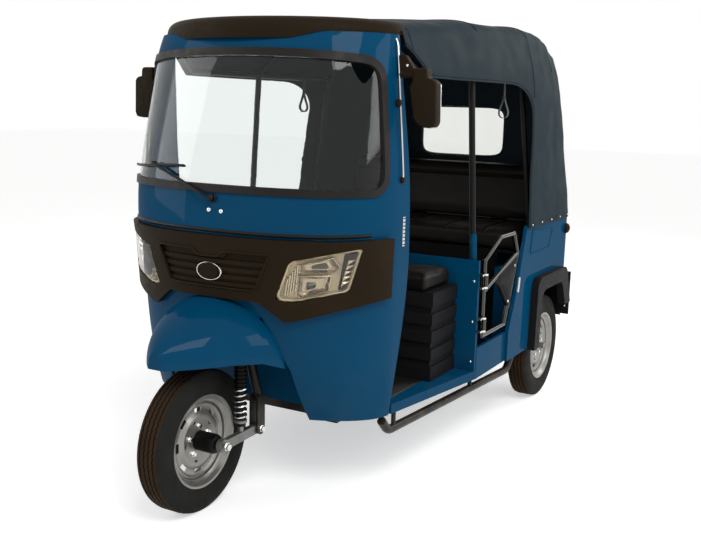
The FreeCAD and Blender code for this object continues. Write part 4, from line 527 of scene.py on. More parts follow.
# The shares of CANOPY_ROWS at one distance back
def canopy_row(back):
    share = (back - CANOPY_FRONT) / (CANOPY_REAR - CANOPY_FRONT)
    share = min(max(share, 0), 1)
    for first, second in zip(CANOPY_ROWS, CANOPY_ROWS[1:]):
        if share <= second[0]:
            part = (share - first[0]) / (second[0] - first[0])
            return [mix(a, b, part) for a, b in zip(first[1:], second[1:])]
    return CANOPY_ROWS[-1][1:]


# A smooth curve through all of the points
def spline(points, steps):
    curve = []
    last = len(points) - 1
    for i in range(last):
        before = points[max(i - 1, 0)]
        here, after = points[i], points[i + 1]
        beyond = points[min(i + 2, last)]
        for k in range(steps):
            t = k / steps
            curve.append(tuple(0.5 * (2 * b + (c - a) * t + (2 * a - 5 * b + 4 * c - d) * t * t
                    + (3 * b - a - 3 * c + d) * t ** 3)
                    for a, b, c, d in zip(before, here, after, beyond)))
    curve.append(tuple(points[-1]))
    return curve


# Left half of the cover's section, from the hem up to the middle of the roof, as (x, z)
def canopy_half(back):
    hem_share, top_share, drop = canopy_row(back)
    crown = CROWN_Z - drop * FULL_DROP
    edge_z = EDGE_Z - drop * FULL_DROP
    shoulder_z = min(SHOULDER_Z, edge_z - 0.07)
    hem = HEM_HALF * hem_share
    shoulder = SHOULDER_HALF * top_share
    edge = EDGE_HALF * top_share
    half_z = mix(edge_z, crown, 0.72)
    points = [(hem, BOTTOM_Z), (mix(hem, shoulder, 0.55), mix(BOTTOM_Z, shoulder_z, 0.55)), (shoulder, shoulder_z),
            (mix(shoulder, edge, 0.38), mix(shoulder_z, edge_z, 0.62)), (edge, edge_z), (edge / 2, half_z),
            (0, crown), (-edge / 2, half_z)]
    return spline(points, 16)[:16 * 6 + 1]


# Half width of a section at a height
def width_at(curve, z):
    for first, second in zip(curve, curve[1:]):
        if first[1] <= z <= second[1]:
            part = (z - first[1]) / max(second[1] - first[1], 1e-6)
            return mix(first[0], second[0], part)
    return curve[0][0] if z < curve[0][1] else curve[-1][0]


# Lowest edge of the cover over the side opening
def band_foot(back):
    share = (back - CANOPY_FRONT) / (BAND_START - CANOPY_FRONT)
    return mix(FRONT_FOOT_Z, BAND_Z, min(share, 1))


# How far forward the opening's rear edge leans at a height
def opening_shift(z):
    return OPENING_LEAN * max(BAND_Z - z, 0) / (BAND_Z - OPENING_FOOT)


# How far the cover hangs in between what carries it, and its small folds
def canopy_give(x, back, z):
    sag = 0
    for first, second in zip(BOWS, BOWS[1:]):
        if first < back < second:
            sag = sin(pi * (back - first) / (second - first)) ** 1.5
    give = -SAG * sag * smooth((z - 1.66) / 0.06) * (1 - abs(x))
    side = 1 - smooth((z - 1.5) / 0.12)
    tail = smooth((back - 1.95) / 0.2)
    place = Vector((x * 2, back * 0.9, z * 1.8))
    folds = noise.noise(place * 3.1) * FOLD + noise.noise(place * 7.5) * FINE_FOLD
    slant = sin((z * 15 + back * 11) + noise.noise(place * 2.2) * 4)
    give += folds * (0.45 + 0.75 * side) + slant * 0.0014 * side * tail * smooth((1.45 - z) / 0.3)
    corner = smooth((back - 1.86) / 0.1) * (1 - smooth((back - 2.2) / 0.08)) * smooth((z - 1.52) / 0.1)
    return give + sin((abs(x) * 34 - back * 24) + noise.noise(place * 3) * 2.5) * 0.0035 * corner


def canopy_columns():
    front = [mix(CANOPY_FRONT, BAND_START, k / 4) for k in range(4)]
    front += [mix(BAND_START, ARC_START, k / 20) for k in range(20)]
    front += [mix(ARC_START, OPENING_REAR, sin(pi / 2 * k / 14)) for k in range(14)]
    rear = [mix(OPENING_REAR, TAIL_BEND, k / 20) for k in range(20)]
    rear += [mix(TAIL_BEND, CANOPY_REAR, sin(pi / 2 * k / 12)) for k in range(13)]
    return front, rear


# The section above the side opening, as points at even steps up to the middle of the roof
def roof_half(back):
    curve = canopy_half(back)
    foot = band_foot(back)
    left = [(width_at(curve, foot), foot)] + [point for point in curve if point[1] > foot + 1e-5]
    lengths = [0]
    for first, second in zip(left, left[1:]):
        lengths.append(lengths[-1] + math.dist(first, second))
    half = []
    for i in range(ROOF_ROWS // 2 + 1):
        target = lengths[-1] * i / (ROOF_ROWS // 2)
        k = 0
        while k < len(lengths) - 2 and lengths[k + 1] < target:
            k += 1
        part = (target - lengths[k]) / max(lengths[k + 1] - lengths[k], 1e-9)
        half.append([mix(a, b, part) for a, b in zip(left[k], left[k + 1])])
    return half


def canopy_sheet():
    front, rear = canopy_columns()
    last = len(front + rear) - 1
    verts = []
    index = {}
    faces = []

    def put(key, x, back, z):
        index[key] = len(verts)
        verts.append((x, back, z))

    def add(keys):
        if all(key in index for key in keys):
            faces.append([index[key] for key in keys])

    for j, back in enumerate(front + rear):
        for i, (x, z) in enumerate(roof_half(back)):
            put((j, "roof", i), x, back, z)
            if i < ROOF_ROWS // 2:
                put((j, "roof", ROOF_ROWS - i), -x, back, z)
        if back < ARC_START - 1e-6:
            continue
        share = (back - ARC_START) / (OPENING_REAR - ARC_START)
        reach = CORNER * (1 - math.sqrt(max(1 - share * share, 0)))
        levels = [BAND_Z - reach * i / DIP_ROWS for i in range(1, DIP_ROWS + 1)]
        lean = 1
        if j >= len(front):
            levels += [mix(BAND_Z - CORNER, HEM_Z, i / SIDE_ROWS) for i in range(1, SIDE_ROWS + 1)]
            lean = 1 - smooth((back - OPENING_REAR) / 0.35)
        for side in (1, -1):
            for i, z in enumerate(levels, 1):
                shifted = back - lean * opening_shift(z)
                put((j, side, i), side * width_at(canopy_half(shifted), z), shifted, z)

    rows = range(1, DIP_ROWS + SIDE_ROWS + 1)
    for j in range(last):
        for i in range(ROOF_ROWS):
            add([(j, "roof", i), (j, "roof", i + 1), (j + 1, "roof", i + 1), (j + 1, "roof", i)])
        for side in (1, -1):
            chain = [("roof", 0 if side > 0 else ROOF_ROWS)] + [(side, i) for i in rows]
            for low, high in zip(chain[1:], chain):
                keys = [(j, *low), (j, *high), (j + 1, *high), (j + 1, *low)]
                add(keys if side > 0 else keys[::-1])
    roof_and_right = [index[last, "roof", i] for i in range(ROOF_ROWS + 1)] + [index[last, -1, i] for i in rows]
    back_cap(verts, faces, roof_and_right, [index[last, 1, i] for i in rows])
    piece = new_piece("canopy_cover", [at(*vert) for vert in verts], faces, "canopy_vinyl")
    weld(piece)
    give_way(piece)
    return piece


WINDOW_MID = 1.295
WINDOW_HALF = (0.232, 0.125)
WINDOW_STEPS = 72
PANE_RINGS = 8
TAIL_STEPS = 24
TAIL_RINGS = 9


# A point on a rounded oblong about a middle, at an angle
def superellipse(angle, half_x, half_z, power, middle_z):
    x, z = cos(angle), sin(angle)
    scale = (abs(x / half_x) ** power + abs(z / half_z) ** power) ** (-1 / power)
    return x * scale, middle_z + z * scale


def window_edge(angle, grow=0):
    return superellipse(angle, WINDOW_HALF[0] + grow, WINDOW_HALF[1] + grow, 7, WINDOW_MID)


# Closes the tail from the last section and the hem in to the window's edge
def back_cap(verts, faces, roof_and_right, left):
    left_x, back, left_z = verts[left[-1]]
    hem = []
    for k in range(1, TAIL_STEPS):
        hem.append(len(verts))
        verts.append((mix(-left_x, left_x, k / TAIL_STEPS), back, left_z))
    ring = roof_and_right + hem + left[::-1]
    grid = [ring]
    for r in range(1, TAIL_RINGS + 1):
        share = r / TAIL_RINGS
        row = []
        for x, back, z in [verts[i] for i in ring]:
            wx, wz = window_edge(math.atan2(z - WINDOW_MID, x))
            row.append(len(verts))
            verts.append((mix(x, wx, share), back + 0.006 * sin(pi * share), mix(z, wz, share)))
        grid.append(row)
    for low, high in zip(grid, grid[1:]):
        for i in range(len(ring)):
            on = (i + 1) % len(ring)
            faces.append([low[i], high[i], high[on], low[on]])


# Lets the cover sag and fold
def give_way(piece):
    mesh = piece.data
    normals = [v.normal.copy() for v in mesh.vertices]
    for vert, normal in zip(mesh.vertices, normals):
        x, back, z = vert.co.x, vert.co.y - FRONT_AXLE, vert.co.z
        outward = normal if normal.dot(Vector((x, (back - 1.4) * 0.6, z - 1.2))) > 0 else -normal
        vert.co += outward * canopy_give(x, back, z)
    mesh.update()


# Points over the roof from side to side at one distance back
def roof_line(back, foot, lift):
    section = canopy_half(back)
    half = [(width_at(section, foot), foot)] + [point for point in section if point[1] >= foot]
    half = half[::3] + ([half[-1]] if (len(half) - 1) % 3 else [])
    line = []
    for x, z in half + [(-x, z) for x, z in reversed(half[:-1])]:
        give = canopy_give(x, back, z) + lift
        rise = smooth((z - 1.62) / 0.1)
        line.append(at(x + math.copysign(give * (1 - rise), x), back, z + give * rise))
    return line


def canopy():
    cover = canopy_sheet()
    apply_modifier(cover, "SOLIDIFY", thickness=COVER_THICKNESS, offset=1)
    shade(cover, 60)
    stand_for("canopy", cover)
    trim = []
    for i, (back, foot) in enumerate(ROOF_SEAMS):
        line = roof_line(back, foot, 0.003)
        trim.append(tube("roof_seam_%d" % i, line, SEAM_RADIUS, "canopy_vinyl", count=8, bends=0.02))
    for side, name in SIDES:
        trim += side_seams(side, name)
    edge = [window_edge(angle, 0.011) for angle in turns(WINDOW_STEPS)]
    trim.append(tube("window_welt", [at(x, CANOPY_REAR + 0.0058, z) for x, z in edge], 0.0045, "canopy_vinyl",
            closed=True, count=8, bends=0.001))
    trim.append(rear_window())


# Welts along the opening's edge and along the hem, and the hem's studs
def side_seams(side, name):
    def on_side(back, z, lift):
        x = width_at(canopy_half(back), z)
        return at(side * (x + canopy_give(side * x, back, z) + lift), back, z)

    opening = [(back, band_foot(back) + WELT) for back in [mix(CANOPY_FRONT, ARC_START, k / 24) for k in range(25)]]
    for k in range(1, 15):
        angle = pi / 2 * k / 14
        z = BAND_Z + WELT - CORNER * (1 - cos(angle))
        opening.append((mix(ARC_START, OPENING_REAR + WELT, sin(angle)) - opening_shift(z), z))
    for k in range(1, 14):
        z = mix(BAND_Z + WELT - CORNER, HEM_Z, k / 13)
        opening.append((OPENING_REAR + WELT - opening_shift(z), z))
    hem = [(mix(1.63, 2.286, k / 15), HEM_Z + 0.02) for k in range(16)]
    pieces = []
    for label, line in (("opening", opening), ("hem", hem)):
        points = [on_side(back, z, 0.0034) for back, z in line]
        pieces.append(tube("%s_welt_%s" % (label, name), points, SEAM_RADIUS, "canopy_vinyl", count=8, bends=0.01))
    for k in range(HEM_STUDS):
        place = on_side(mix(1.66, 2.22, k / (HEM_STUDS - 1)), HEM_Z + 0.014, 0.002)
        pieces.append(screw_head("hem_stud_%s_%d" % (name, k), place, outward(side), 0.0048))
    return pieces


# A slightly wavy clear sheet with two faces
def rear_window():
    verts = []
    for depth in (0.0012, -0.0012):
        for r in range(PANE_RINGS + 1):
            share = r / PANE_RINGS
            for angle in turns(WINDOW_STEPS):
                x, z = window_edge(angle, 0.01)
                x, z = mix(x, 0, share), mix(z, WINDOW_MID, share)
                wave = 0.0035 * noise.noise(Vector((x * 6, z * 6, 2))) * sin(pi * min(share + 0.1, 1))
                verts.append(at(x, CANOPY_REAR + 0.001 + depth + wave, z))
    layer = len(verts) // 2
    front = bands(PANE_RINGS + 1, WINDOW_STEPS)
    faces = front + [tuple(layer + i for i in reversed(quad)) for quad in front]
    for k in range(WINDOW_STEPS):
        on = (k + 1) % WINDOW_STEPS
        faces.append((k, layer + k, layer + on, on))
    piece = new_piece("rear_pane", verts, faces, "clear_window")
    weld(piece)
    stand_for("rear_window", piece)
    return piece


# Forms that lie on a curved panel, given by outlines in (x, z) as seen from the front

# One search tree over the CAD nodes that a form lies on
def skin(*names):
    verts = []
    polys = []
    for name in names:
        mesh = NODES[name].data
        start = len(verts)
        verts += [v.co.copy() for v in mesh.vertices]
        polys += [tuple(start + i for i in poly.vertices) for poly in mesh.polygons]
    return BVHTree.FromPolygons(verts, polys)


# Where a line from a point meets a panel, with the panel's normal turned against the line
def cast(tree, start, direction):
    hit, normal, _, _ = tree.ray_cast(start, direction)
    if hit is None:
        return None
    return hit, -normal if normal.dot(direction) > 0 else normal


def touch(tree, x, z):
    return cast(tree, Vector((x, -4, z)), Vector((0, 1, 0)))


# The same, or just inside the panel where the point is past its edge or on a side wall
def touch_near(tree, x, z, middle):
    for share in (0, 0.02, 0.05, 0.1, 0.2):
        found = touch(tree, mix(x, middle[0], share), mix(z, middle[1], share))
        if found and found[1].y < -0.35:
            return Vector((x, found[0].y, z)), found[1]
    return Vector((x, 0, z)), Vector((0, -1, 0))


# Puts points along an outline's edges, a step apart
def dense(outline, step=0.008):
    points = []
    for i, (x, z) in enumerate(outline):
        nx, nz = outline[(i + 1) % len(outline)]
        count = max(int(math.hypot(nx - x, nz - z) / step), 1)
        for k in range(count):
            points.append((mix(x, nx, k / count), mix(z, nz, k / count)))
    return points


# The middle that insets shrink towards
def centroid(points):
    return sum(p[0] for p in points) / len(points), sum(p[1] for p in points) / len(points)


def inset(outline, share):
    cx, cz = centroid(outline)
    return [(mix(x, cx, share), mix(z, cz, share)) for x, z in outline]


# Rings of (share towards the middle, height over the panel) make the form's profile
def on_panel(name, tree, outline, rings, slot, look=None, side=1, soft=40):
    points = dense(outline)
    middle = centroid(points)
    rows = []
    for share, height in rings:
        found = [touch_near(tree, x, z, middle) for x, z in inset(points, share)]
        row = [place + normal * height for place, normal in found]
        rows.append([Vector((side * point.x, point.y, point.z)) for point in row])
    piece = loft(name, rows, slot, look=look, soft=0, flip=side < 0)
    weld(piece, 0.0001)
    if soft:
        shade(piece, soft)
    return piece


LAMP = [(0.252, 0.766), (0.302, 0.898), (0.505, 0.944), (0.468, 0.795), (0.3, 0.756)]
# Outline and how much of it is the dark eye
LAMP_BOWLS = {"upper": ([(0.33, 0.858), (0.333, 0.884), (0.433, 0.912), (0.448, 0.88), (0.436, 0.862)], 0.42),
        "lower": ([(0.318, 0.783), (0.328, 0.848), (0.424, 0.852), (0.416, 0.8), (0.33, 0.772)], 0.3)}
BOWL_RINGS = [(0, -0.002), (0, 0.013), (0.06, 0.014), (0.1, 0.009), (0.35, -0.002), (0.6, -0.008), (0.8, -0.01)]
EYE_RINGS = [(0, -0.006), (0, 0.002), (0.3, 0.006), (0.7, 0.009)]
LAMP_RIBS = 5
LAMP_FACETS = 5
# How far the CAD lamp's face stands over the bed that the rings' heights start from
LAMP_PROUD = 0.02


def headlamp(tree, side, name):
    pieces = []

    def add(label, outline, rings, look=None, soft=40):
        lowered = [(share, height - LAMP_PROUD) for share, height in rings]
        pieces.append(on_panel("lamp_%s_%s" % (label, name), tree, outline, lowered, "lamp_lens", look, side, soft))

    whole = rounded(LAMP, 0.014)
    add("bed", whole, [(0, -0.012), (0, 0.016), (0.035, 0.02), (0.07, 0.019), (0.085, 0.01), (0.1, -0.004)],
        "lamp_border")
    for label, (outline, eye) in LAMP_BOWLS.items():
        add("bowl_" + label, outline, BOWL_RINGS, "reflector", soft=0)
        add("eye_" + label, inset(rounded(outline, 0.02), 1 - eye), EYE_RINGS, "lamp_eye")
    for k in range(LAMP_RIBS):
        x, low, high = 0.28 + 0.0085 * k, 0.775 + 0.004 * k, 0.838 + 0.0145 * k * 0.8
        height = 0.015 - 0.0018 * k
        add("rib_%d" % k, [(x, low), (x + 0.012, high), (x + 0.0165, high - 0.001), (x + 0.0045, low)],
            [(0, -0.002), (0, height), (0.3, height)], "reflector", soft=0)
    add("strip", [(0.441, 0.8), (0.462, 0.92), (0.493, 0.928), (0.466, 0.806)],
        [(0, -0.002), (0, 0.01), (0.1, 0.01)], "trim_black")
    for k in range(LAMP_FACETS):
        z, lean = mix(0.812, 0.905, k / LAMP_FACETS), 0.0235 * k / LAMP_FACETS
        add("facet_%d" % k, [(0.4465 + lean, z), (0.45 + lean, z + 0.017), (0.469 + lean, z + 0.0185)],
            [(0, 0.008), (0, 0.0145), (0.9, 0.017)], "reflector", soft=0)
    add("light", [(0.47, 0.812), (0.4925, 0.925), (0.4975, 0.926), (0.4745, 0.813)],
        [(0, 0.004), (0, 0.015), (0.3, 0.016)], "lamp_border")
    add("cover", inset(whole, 0.028), [(0, 0.018), (0.02, 0.0215), (0.08, 0.0225), (0.9, 0.0225)])
    stand_for("headlamps", *pieces)


# The emblem's tree is the shell behind the grille, so its face stays smooth over the slats
def emblem(tree):
    ring = [superellipse(angle, 0.054, 0.033, 2, 0.8425) for angle in turns(64)]
    rim_rings = [(0, 0.008), (0, 0.0205), (0.04, 0.0235), (0.09, 0.0235), (0.12, 0.0205), (0.125, 0.0185)]
    on_panel("emblem_rim", tree, ring, rim_rings, "bright_chrome")
    on_panel("emblem_face", tree, inset(ring, 0.1), [(0, 0.01), (0.02, 0.0205), (0.4, 0.0225), (0.9, 0.0232)],
            "trim_black")


def grille_lip(mask):
    outline = [(-0.236, 0.915), (-0.064, 0.915), (-0.044, 0.895), (0.044, 0.895), (0.064, 0.915), (0.236, 0.915),
            (0.18, 0.79), (-0.18, 0.79)]
    found = [touch(mask, x * 1.012, mix(0.8525, z, 1.03)) for x, z in dense(rounded(outline, 0.02, 4), 0.006)]
    points = [place + normal * 0.0012 for place, normal in filter(None, found)]
    tube("grille_lip", points, 0.0042, "trim_black", closed=True, count=8, bends=0.002)


# A dark tube of painted shade, in the rubber finish, marks the crease just above the mask's top edge, and a thin lip in
# body paint follows that edge
def mask_strips(mask, nose):
    edges = []
    for k in range(57):
        x = mix(-0.508, 0.508, k / 56)
        edges.append((x, next((z / 1000 for z in range(1010, 900, -1) if touch(mask, x, z / 1000)), None)))
    # The first tube is painted shade for the crease, the second the body-paint lip
    for name, rise, lift, radius, slot, count in (("mask_crease_shade", 0.0155, -0.0012, 0.0062, "seal_rubber", 10),
            ("mask_lip", 0.0045, 0.0004, 0.0034, "body_blue", 8)):
        line = []
        for x, edge in edges:
            found = touch(nose, x, edge + rise) if edge else None
            if found:
                line.append(found[0] + found[1] * lift)
        tube(name, line, radius, slot, count=count, bends=0.002)


# Rear side: a blank embossed frame under the canopy and a black stop at the corner
def side_details(tree, side, name):
    def side_touch(back, z):
        return cast(tree, at(side * 2, back, z), outward(-side))

    outline = [(1.69, 0.872), (1.99, 0.85), (1.945, 0.762), (1.668, 0.762)]
    found = [side_touch(back, z) for back, z in dense(rounded(outline, 0.012, 4), 0.012)]
    points = [place + normal * 0.0008 for place, normal in filter(None, found)]
    tube("side_frame_" + name, points, 0.003, "body_blue", closed=True, count=8, bends=0.002)
    place, normal = side_touch(2.215, 0.826)
    turning("side_stop_" + name, place - normal * 0.001, normal,
            [(0, 0.026), (0.008, 0.026), (0.016, 0.021), (0.021, 0.012)], "trim_black", count=28)


# Mirrors: a necked housing with grooves that pinch at its middle, their shade painted as beads of darker rubber, the
# glass behind, and a plate to the pillar
MIRROR = [(-0.039, 0.089), (0.014, 0.089), (0.016, 0.054), (0.036, 0.052), (0.05, 0.042), (0.0535, -0.094),
        (0.046, -0.108), (0.01, -0.112), (-0.012, -0.104), (-0.029, -0.085), (-0.05, 0.03), (-0.038, 0.042)]
MIRROR_GROOVES = [[(-0.04, 0.01), (-0.016, -0.008), (-0.009, -0.054), (-0.034, -0.0785)],
        [(0.034, 0.012), (0.014, -0.008), (0.008, -0.05), (0.04, -0.074)]]
MIRROR_PLATE = [(-0.097, 0.133), (-0.073, 0.133), (-0.038, 0.084), (-0.038, 0.066), (-0.095, 0.062)]
MIRROR_RINGS = [(0.14, -0.0235), (0.05, -0.0225), (0.012, -0.019), (0, -0.012), (0, 0.016), (0.02, 0.021)]
MIRROR_CENTRE = (0.613, 0.481, 1.46)


def mirror(side, name):
    centre = at(side * MIRROR_CENTRE[0], *MIRROR_CENTRE[1:])

    def place(x, y, z):
        return centre + Vector((side * x, y, z))

    # A form between levels along Y, from an outline in (x, z) and rings of (inset share, level)
    def slab(label, outline, rings, slot):
        rows = [[place(x, level, z) for x, z in inset(outline, share)] for share, level in rings]
        return loft("mirror_%s_%s" % (label, name), rows, slot, flip=side > 0)

    pieces = [slab("housing", rounded(MIRROR, 0.01, 4), MIRROR_RINGS, "trim_black")]
    # The grooves' painted shade: thin beads in the darker rubber finish
    for k, line in enumerate(MIRROR_GROOVES):
        pieces.append(tube("mirror_groove_%d_%s" % (k, name), [place(x, -0.0232, z) for x, z in line], 0.0016,
                "seal_rubber", count=8, bends=0.02))
    lower = rounded([(x, min(z, 0.04)) for x, z in MIRROR if z < 0.05], 0.01, 4)
    pieces.append(slab("glass", inset(lower, 0.05), [(0, 0.0205), (0.01, 0.0225)], "bright_chrome"))
    pieces.append(tube("mirror_rim_" + name, [place(x, 0.0195, z) for x, z in lower], 0.002, "bright_chrome",
            closed=True, count=8, bends=0.002))
    pieces.append(slab("plate", rounded(MIRROR_PLATE, 0.006, 3),
            [(0.04, -0.013), (0, -0.011), (0, 0.011), (0.04, 0.013)], "trim_black"))
    pieces.append(turning("mirror_hinge_" + name, place(-0.096, -0.006, 0.066), outward(side),
            [(0, 0.009), (0.002, 0.0105), (0.058, 0.0105), (0.06, 0.009)], "trim_black"))
    stand_for("mirrors", *pieces)
    screw_head("mirror_bolt_" + name, place(-0.064, -0.013, 0.097), Vector((0, -1, 0)), 0.0055)


# Wiper: spindle, arm and a blade that lies along the glass
def wiper(screen):
    pivot, normal = touch(screen, 0, 1.092)
    elbow, out = touch(screen, -0.285, 1.192)
    tip = elbow + out * 0.024
    spindle = [(-0.004, 0.016), (0.004, 0.016), (0.007, 0.012), (0.018, 0.012), (0.022, 0.008)]
    arm = [pivot + normal * 0.014, pivot + normal * 0.02 + Vector((-0.04, 0, 0.014)),
           mix(pivot, elbow, 0.5) + normal * 0.026, tip]
    rubber = []
    holder = []
    for k in range(13):
        angle = pi * k / 12
        place, up = touch(screen, mix(-0.138, -0.45, k / 12), 1.1865 + 0.0075 * cos(angle))
        rubber.append(place + up * 0.005)
        holder.append(place + up * (0.012 + 0.006 * sin(angle)))
    clip = [(0, 0.009), (0.014, 0.009), (0.018, 0.006)]
    stand_for("wiper", turning("wiper_spindle", pivot, normal, spindle, "frame_black"),
            tube("wiper_arm", arm, 0.0058, "frame_black", bends=0.02),
            tube("wiper_rubber", rubber, 0.0042, "frame_black", count=6, bends=0.002),
            tube("wiper_holder", holder, 0.0052, "frame_black", count=8, bends=0.002),
            turning("wiper_clip", tip - out * 0.014, out, clip, "frame_black", count=20))


# Front suspension: ribbed cover above, bright coils below, as the photo shows
SHOCK_FOOT = (0.12, 0.108, 0.254)
SHOCK_HEAD = (0.12, 0.104, 0.616)
COVER_RIBS = 9


def front_shock(side, name):
    foot, head = (at(side * x, back, z) for x, back, z in (SHOCK_FOOT, SHOCK_HEAD))
    axis = (head - foot).normalized()
    length = (head - foot).length
    start, end = length * 0.49, length * 0.84
    pitch = (end - start) / COVER_RIBS
    cover = [(start - 0.002, 0.014)]
    for k in range(COVER_RIBS):
        base = start + pitch * k
        cover += [(base, 0.0185), (base + pitch * 0.25, 0.0228), (base + pitch * 0.55, 0.0228),
                (base + pitch * 0.8, 0.0185)]
    cover.append((end, 0.014))
    seat = [(length * 0.145, 0.014), (length * 0.15, 0.0225), (length * 0.175, 0.0225), (length * 0.18, 0.017)]
    body = [(0.04, 0.013), (0.06, 0.017), (0.19, 0.017), (0.2, 0.013)]
    pieces = [coil("shock_spring_" + name, foot + axis * length * 0.17, foot + axis * length * 0.5, 0.02, 0.0032, 6,
            "bright_chrome", "steering")]
    rod = [(0.022, 0.0105), (length, 0.0105)]
    for label, outline, slot in (("rod", rod, "steel_grey"), ("body", body, "spring_black"),
            ("cover", cover, "spring_black"), ("seat", seat, "steel_grey")):
        pieces.append(turning("shock_%s_%s" % (label, name), foot, axis, outline, slot, "steering"))
    stand_for("front_shocks", *pieces)
    hex_nut("shock_nut_" + name, head, axis, 0.011, 0.012, "steering")
    hex_nut("pivot_nut_" + name, at(side * 0.1405, 0.208, 0.258), outward(side), 0.011, 0.01, "steering")
    hex_nut("axle_nut_" + name, at(side * 0.1405, 0, 0.254), outward(side), 0.013, 0.012, "steering")


HUB = [(0, 0.035), (0.07, 0.035), (0.08, 0.031), (0.085, 0.022)]
HUB_START = 0.018


def front_hub():
    turning("front_hub", at(HUB_START, 0, TYRE_RADIUS), outward(1), HUB, "spring_black", "front_wheel")


POLE_BACK = 1.118
POLE_FOOT_HALF = 0.566
POLE_FOOT = 0.805
POLE_TOP_HALF = 0.522
POLE_TOP = 1.54
SLEEVE_SHARE = 0.14


def pole_sleeve(side, name):
    top = at(side * mix(POLE_FOOT_HALF, POLE_TOP_HALF, SLEEVE_SHARE), POLE_BACK, mix(POLE_FOOT, POLE_TOP, SLEEVE_SHARE))
    tube("pole_sleeve_" + name, [at(side * (POLE_FOOT_HALF + 0.0002), POLE_BACK, POLE_FOOT), top], 0.0146, "body_blue")


# Door: padded corner panel on the tube loop, latch and bolts; outlines in (back, z)
DOOR_PAD = [(1.522, 0.782), (1.262, 0.716), (1.24, 0.69), (1.296, 0.668), (1.415, 0.556), (1.441, 0.541),
        (1.47, 0.654)]
# Inset share and height over the pad's middle plane, from its edge to its middle
PAD_RINGS = [(0.03, -0.004), (0, -0.002), (0, 0.004), (0.02, 0.0075), (0.06, 0.0095), (0.12, 0.0095),
        (0.16, 0.0075), (0.2, 0.0095), (0.5, 0.0125), (0.85, 0.0135)]
PAD_PLANE = 0.614
DOOR_LATCH = [(0.628, 1.53, 0.672), (0.6285, 1.524, 0.64), (0.628, 1.516, 0.606)]


def door_pad(side, name, body):
    outline = dense(rounded(DOOR_PAD, 0.016), 0.01)
    rows = []
    for sign, rings in ((1, PAD_RINGS[::-1]), (-1, PAD_RINGS)):
        for share, height in rings:
            rows.append([at(side * (PAD_PLANE + sign * height), back, z) for back, z in inset(outline, share)])
    pad = loft("door_pad_" + name, rows, "trim_black", body, "cool_plastic")
    weld(pad)
    shade(pad, 50)
    stand_for("door_panel_" + name, pad)
    latch = [at(side * x, back, z) for x, back, z in DOOR_LATCH]
    tube("door_latch_" + name, latch, 0.0062, "bright_chrome", body, count=12)
    for label, back, z in (("low", 1.405, 0.583), ("high", 1.47, 0.735)):
        screw_head("door_bolt_%s_%s" % (label, name), at(side * 0.6235, back, z), outward(side), body=body)


# Hand strap: a thin webbing loop that hangs from the side rail and opens into a drop
STRAP_HALF = [(0, 0), (0.001, -0.03), (0.002, -0.06), (0.011, -0.092), (0.021, -0.122), (0.016, -0.142)]
STRAP_KNOT = [(-0.004, -0.056), (0.004, -0.056), (0.004, -0.064), (-0.004, -0.064)]
STRAP_TOP = (0.524, 1.497, 1.528)
STRAP_WIDTH = 0.018
STRAP_THICKNESS = 0.0022


def hand_strap(side, name):
    top_x, back, top_z = STRAP_TOP
    curve = spline(STRAP_HALF + [(0, -0.149)] + [(-x, z) for x, z in reversed(STRAP_HALF)], 6)
    rings = []
    for i, (x, z) in enumerate(curve):
        after = curve[min(i + 1, len(curve) - 1)]
        before = curve[max(i - 1, 0)]
        along = Vector((after[0] - before[0], 0, after[1] - before[1])).normalized()
        ring = []
        for w, t in ((-1, -1), (1, -1), (1, 1), (-1, 1)):
            half = t * STRAP_THICKNESS / 2
            ring.append(at(side * (top_x + x + along.z * half), back + w * STRAP_WIDTH / 2, top_z + z - along.x * half))
        rings.append(ring)
    strap = loft("strap_loop_" + name, rings, "strap_web", flip=side > 0)
    loop = [at(side * top_x + x, back, top_z + z) for x, z in STRAP_KNOT]
    knot = tube("strap_knot_" + name, loop, 0.0042, "strap_web", closed=True, count=10, bends=0.004)
    stand_for("grab_straps", strap, knot)


# Pillar: a thin bright rod that stands off its side, its lock and caps, and a strip full of small holes, each a black
# disc of painted shade
PILLAR_ROD = [(0.4985, 0.478, 1.648), (0.508, 0.474, 1.63), (0.53, 0.463, 1.44), (0.5435, 0.475, 1.2),
        (0.544, 0.477, 1.176), (0.535, 0.478, 1.162)]
PILLAR_STRIP = [(0.503, 0.927), (0.52, 0.927), (0.52, 1.033), (0.503, 1.033)]


def pillar(side, name):
    tube("pillar_rod_" + name, [at(side * x, back, z) for x, back, z in PILLAR_ROD], 0.0036, "bright_chrome", count=12)
    turning("pillar_cap_" + name, at(side * 0.53, 0.478, 1.166), outward(side),
            [(0, 0.012), (0.016, 0.011), (0.019, 0.008)], "trim_black", count=20)
    turning("pillar_lock_" + name, at(side * 0.517, 0.46, 1.43), outward(side),
            [(0, 0.014), (0.014, 0.013), (0.017, 0.009)], "trim_black", count=20)
    rings = [[at(side * x, back, z) for back, z in PILLAR_STRIP] for x in (0.5352, 0.5378)]
    strip = loft("pillar_strip_" + name, rings, "bright_chrome", soft=0, flip=side < 0)
    apply_modifier(strip, "BEVEL", width=0.0008, segments=2)
    # Two columns of eight holes, drawn as black discs of painted shade
    for k in range(16):
        place = at(side * 0.5372, 0.5075 + 0.008 * (k % 2), mix(0.933, 1.027, (k // 2) / 7))
        turning("pillar_hole_shade_%d_%s" % (k, name), place, outward(side), [(0, 0.0026), (0.0012, 0.0026)],
                "frame_black", count=12)


# Plain screws: name, axis direction, then x, back and z
SCREWS = [("partition_screw", -1, [(0.592, 1.0715, z) for z in (0.38, 0.55, 0.72)]),
        ("panel_bolt", 1, [(0.592, 1.0905, z) for z in (0.38, 0.55, 0.72)]),
        ("mud_panel_screw", -1, [(0.64, 2.2332, z) for z in (0.42, 0.56)])]


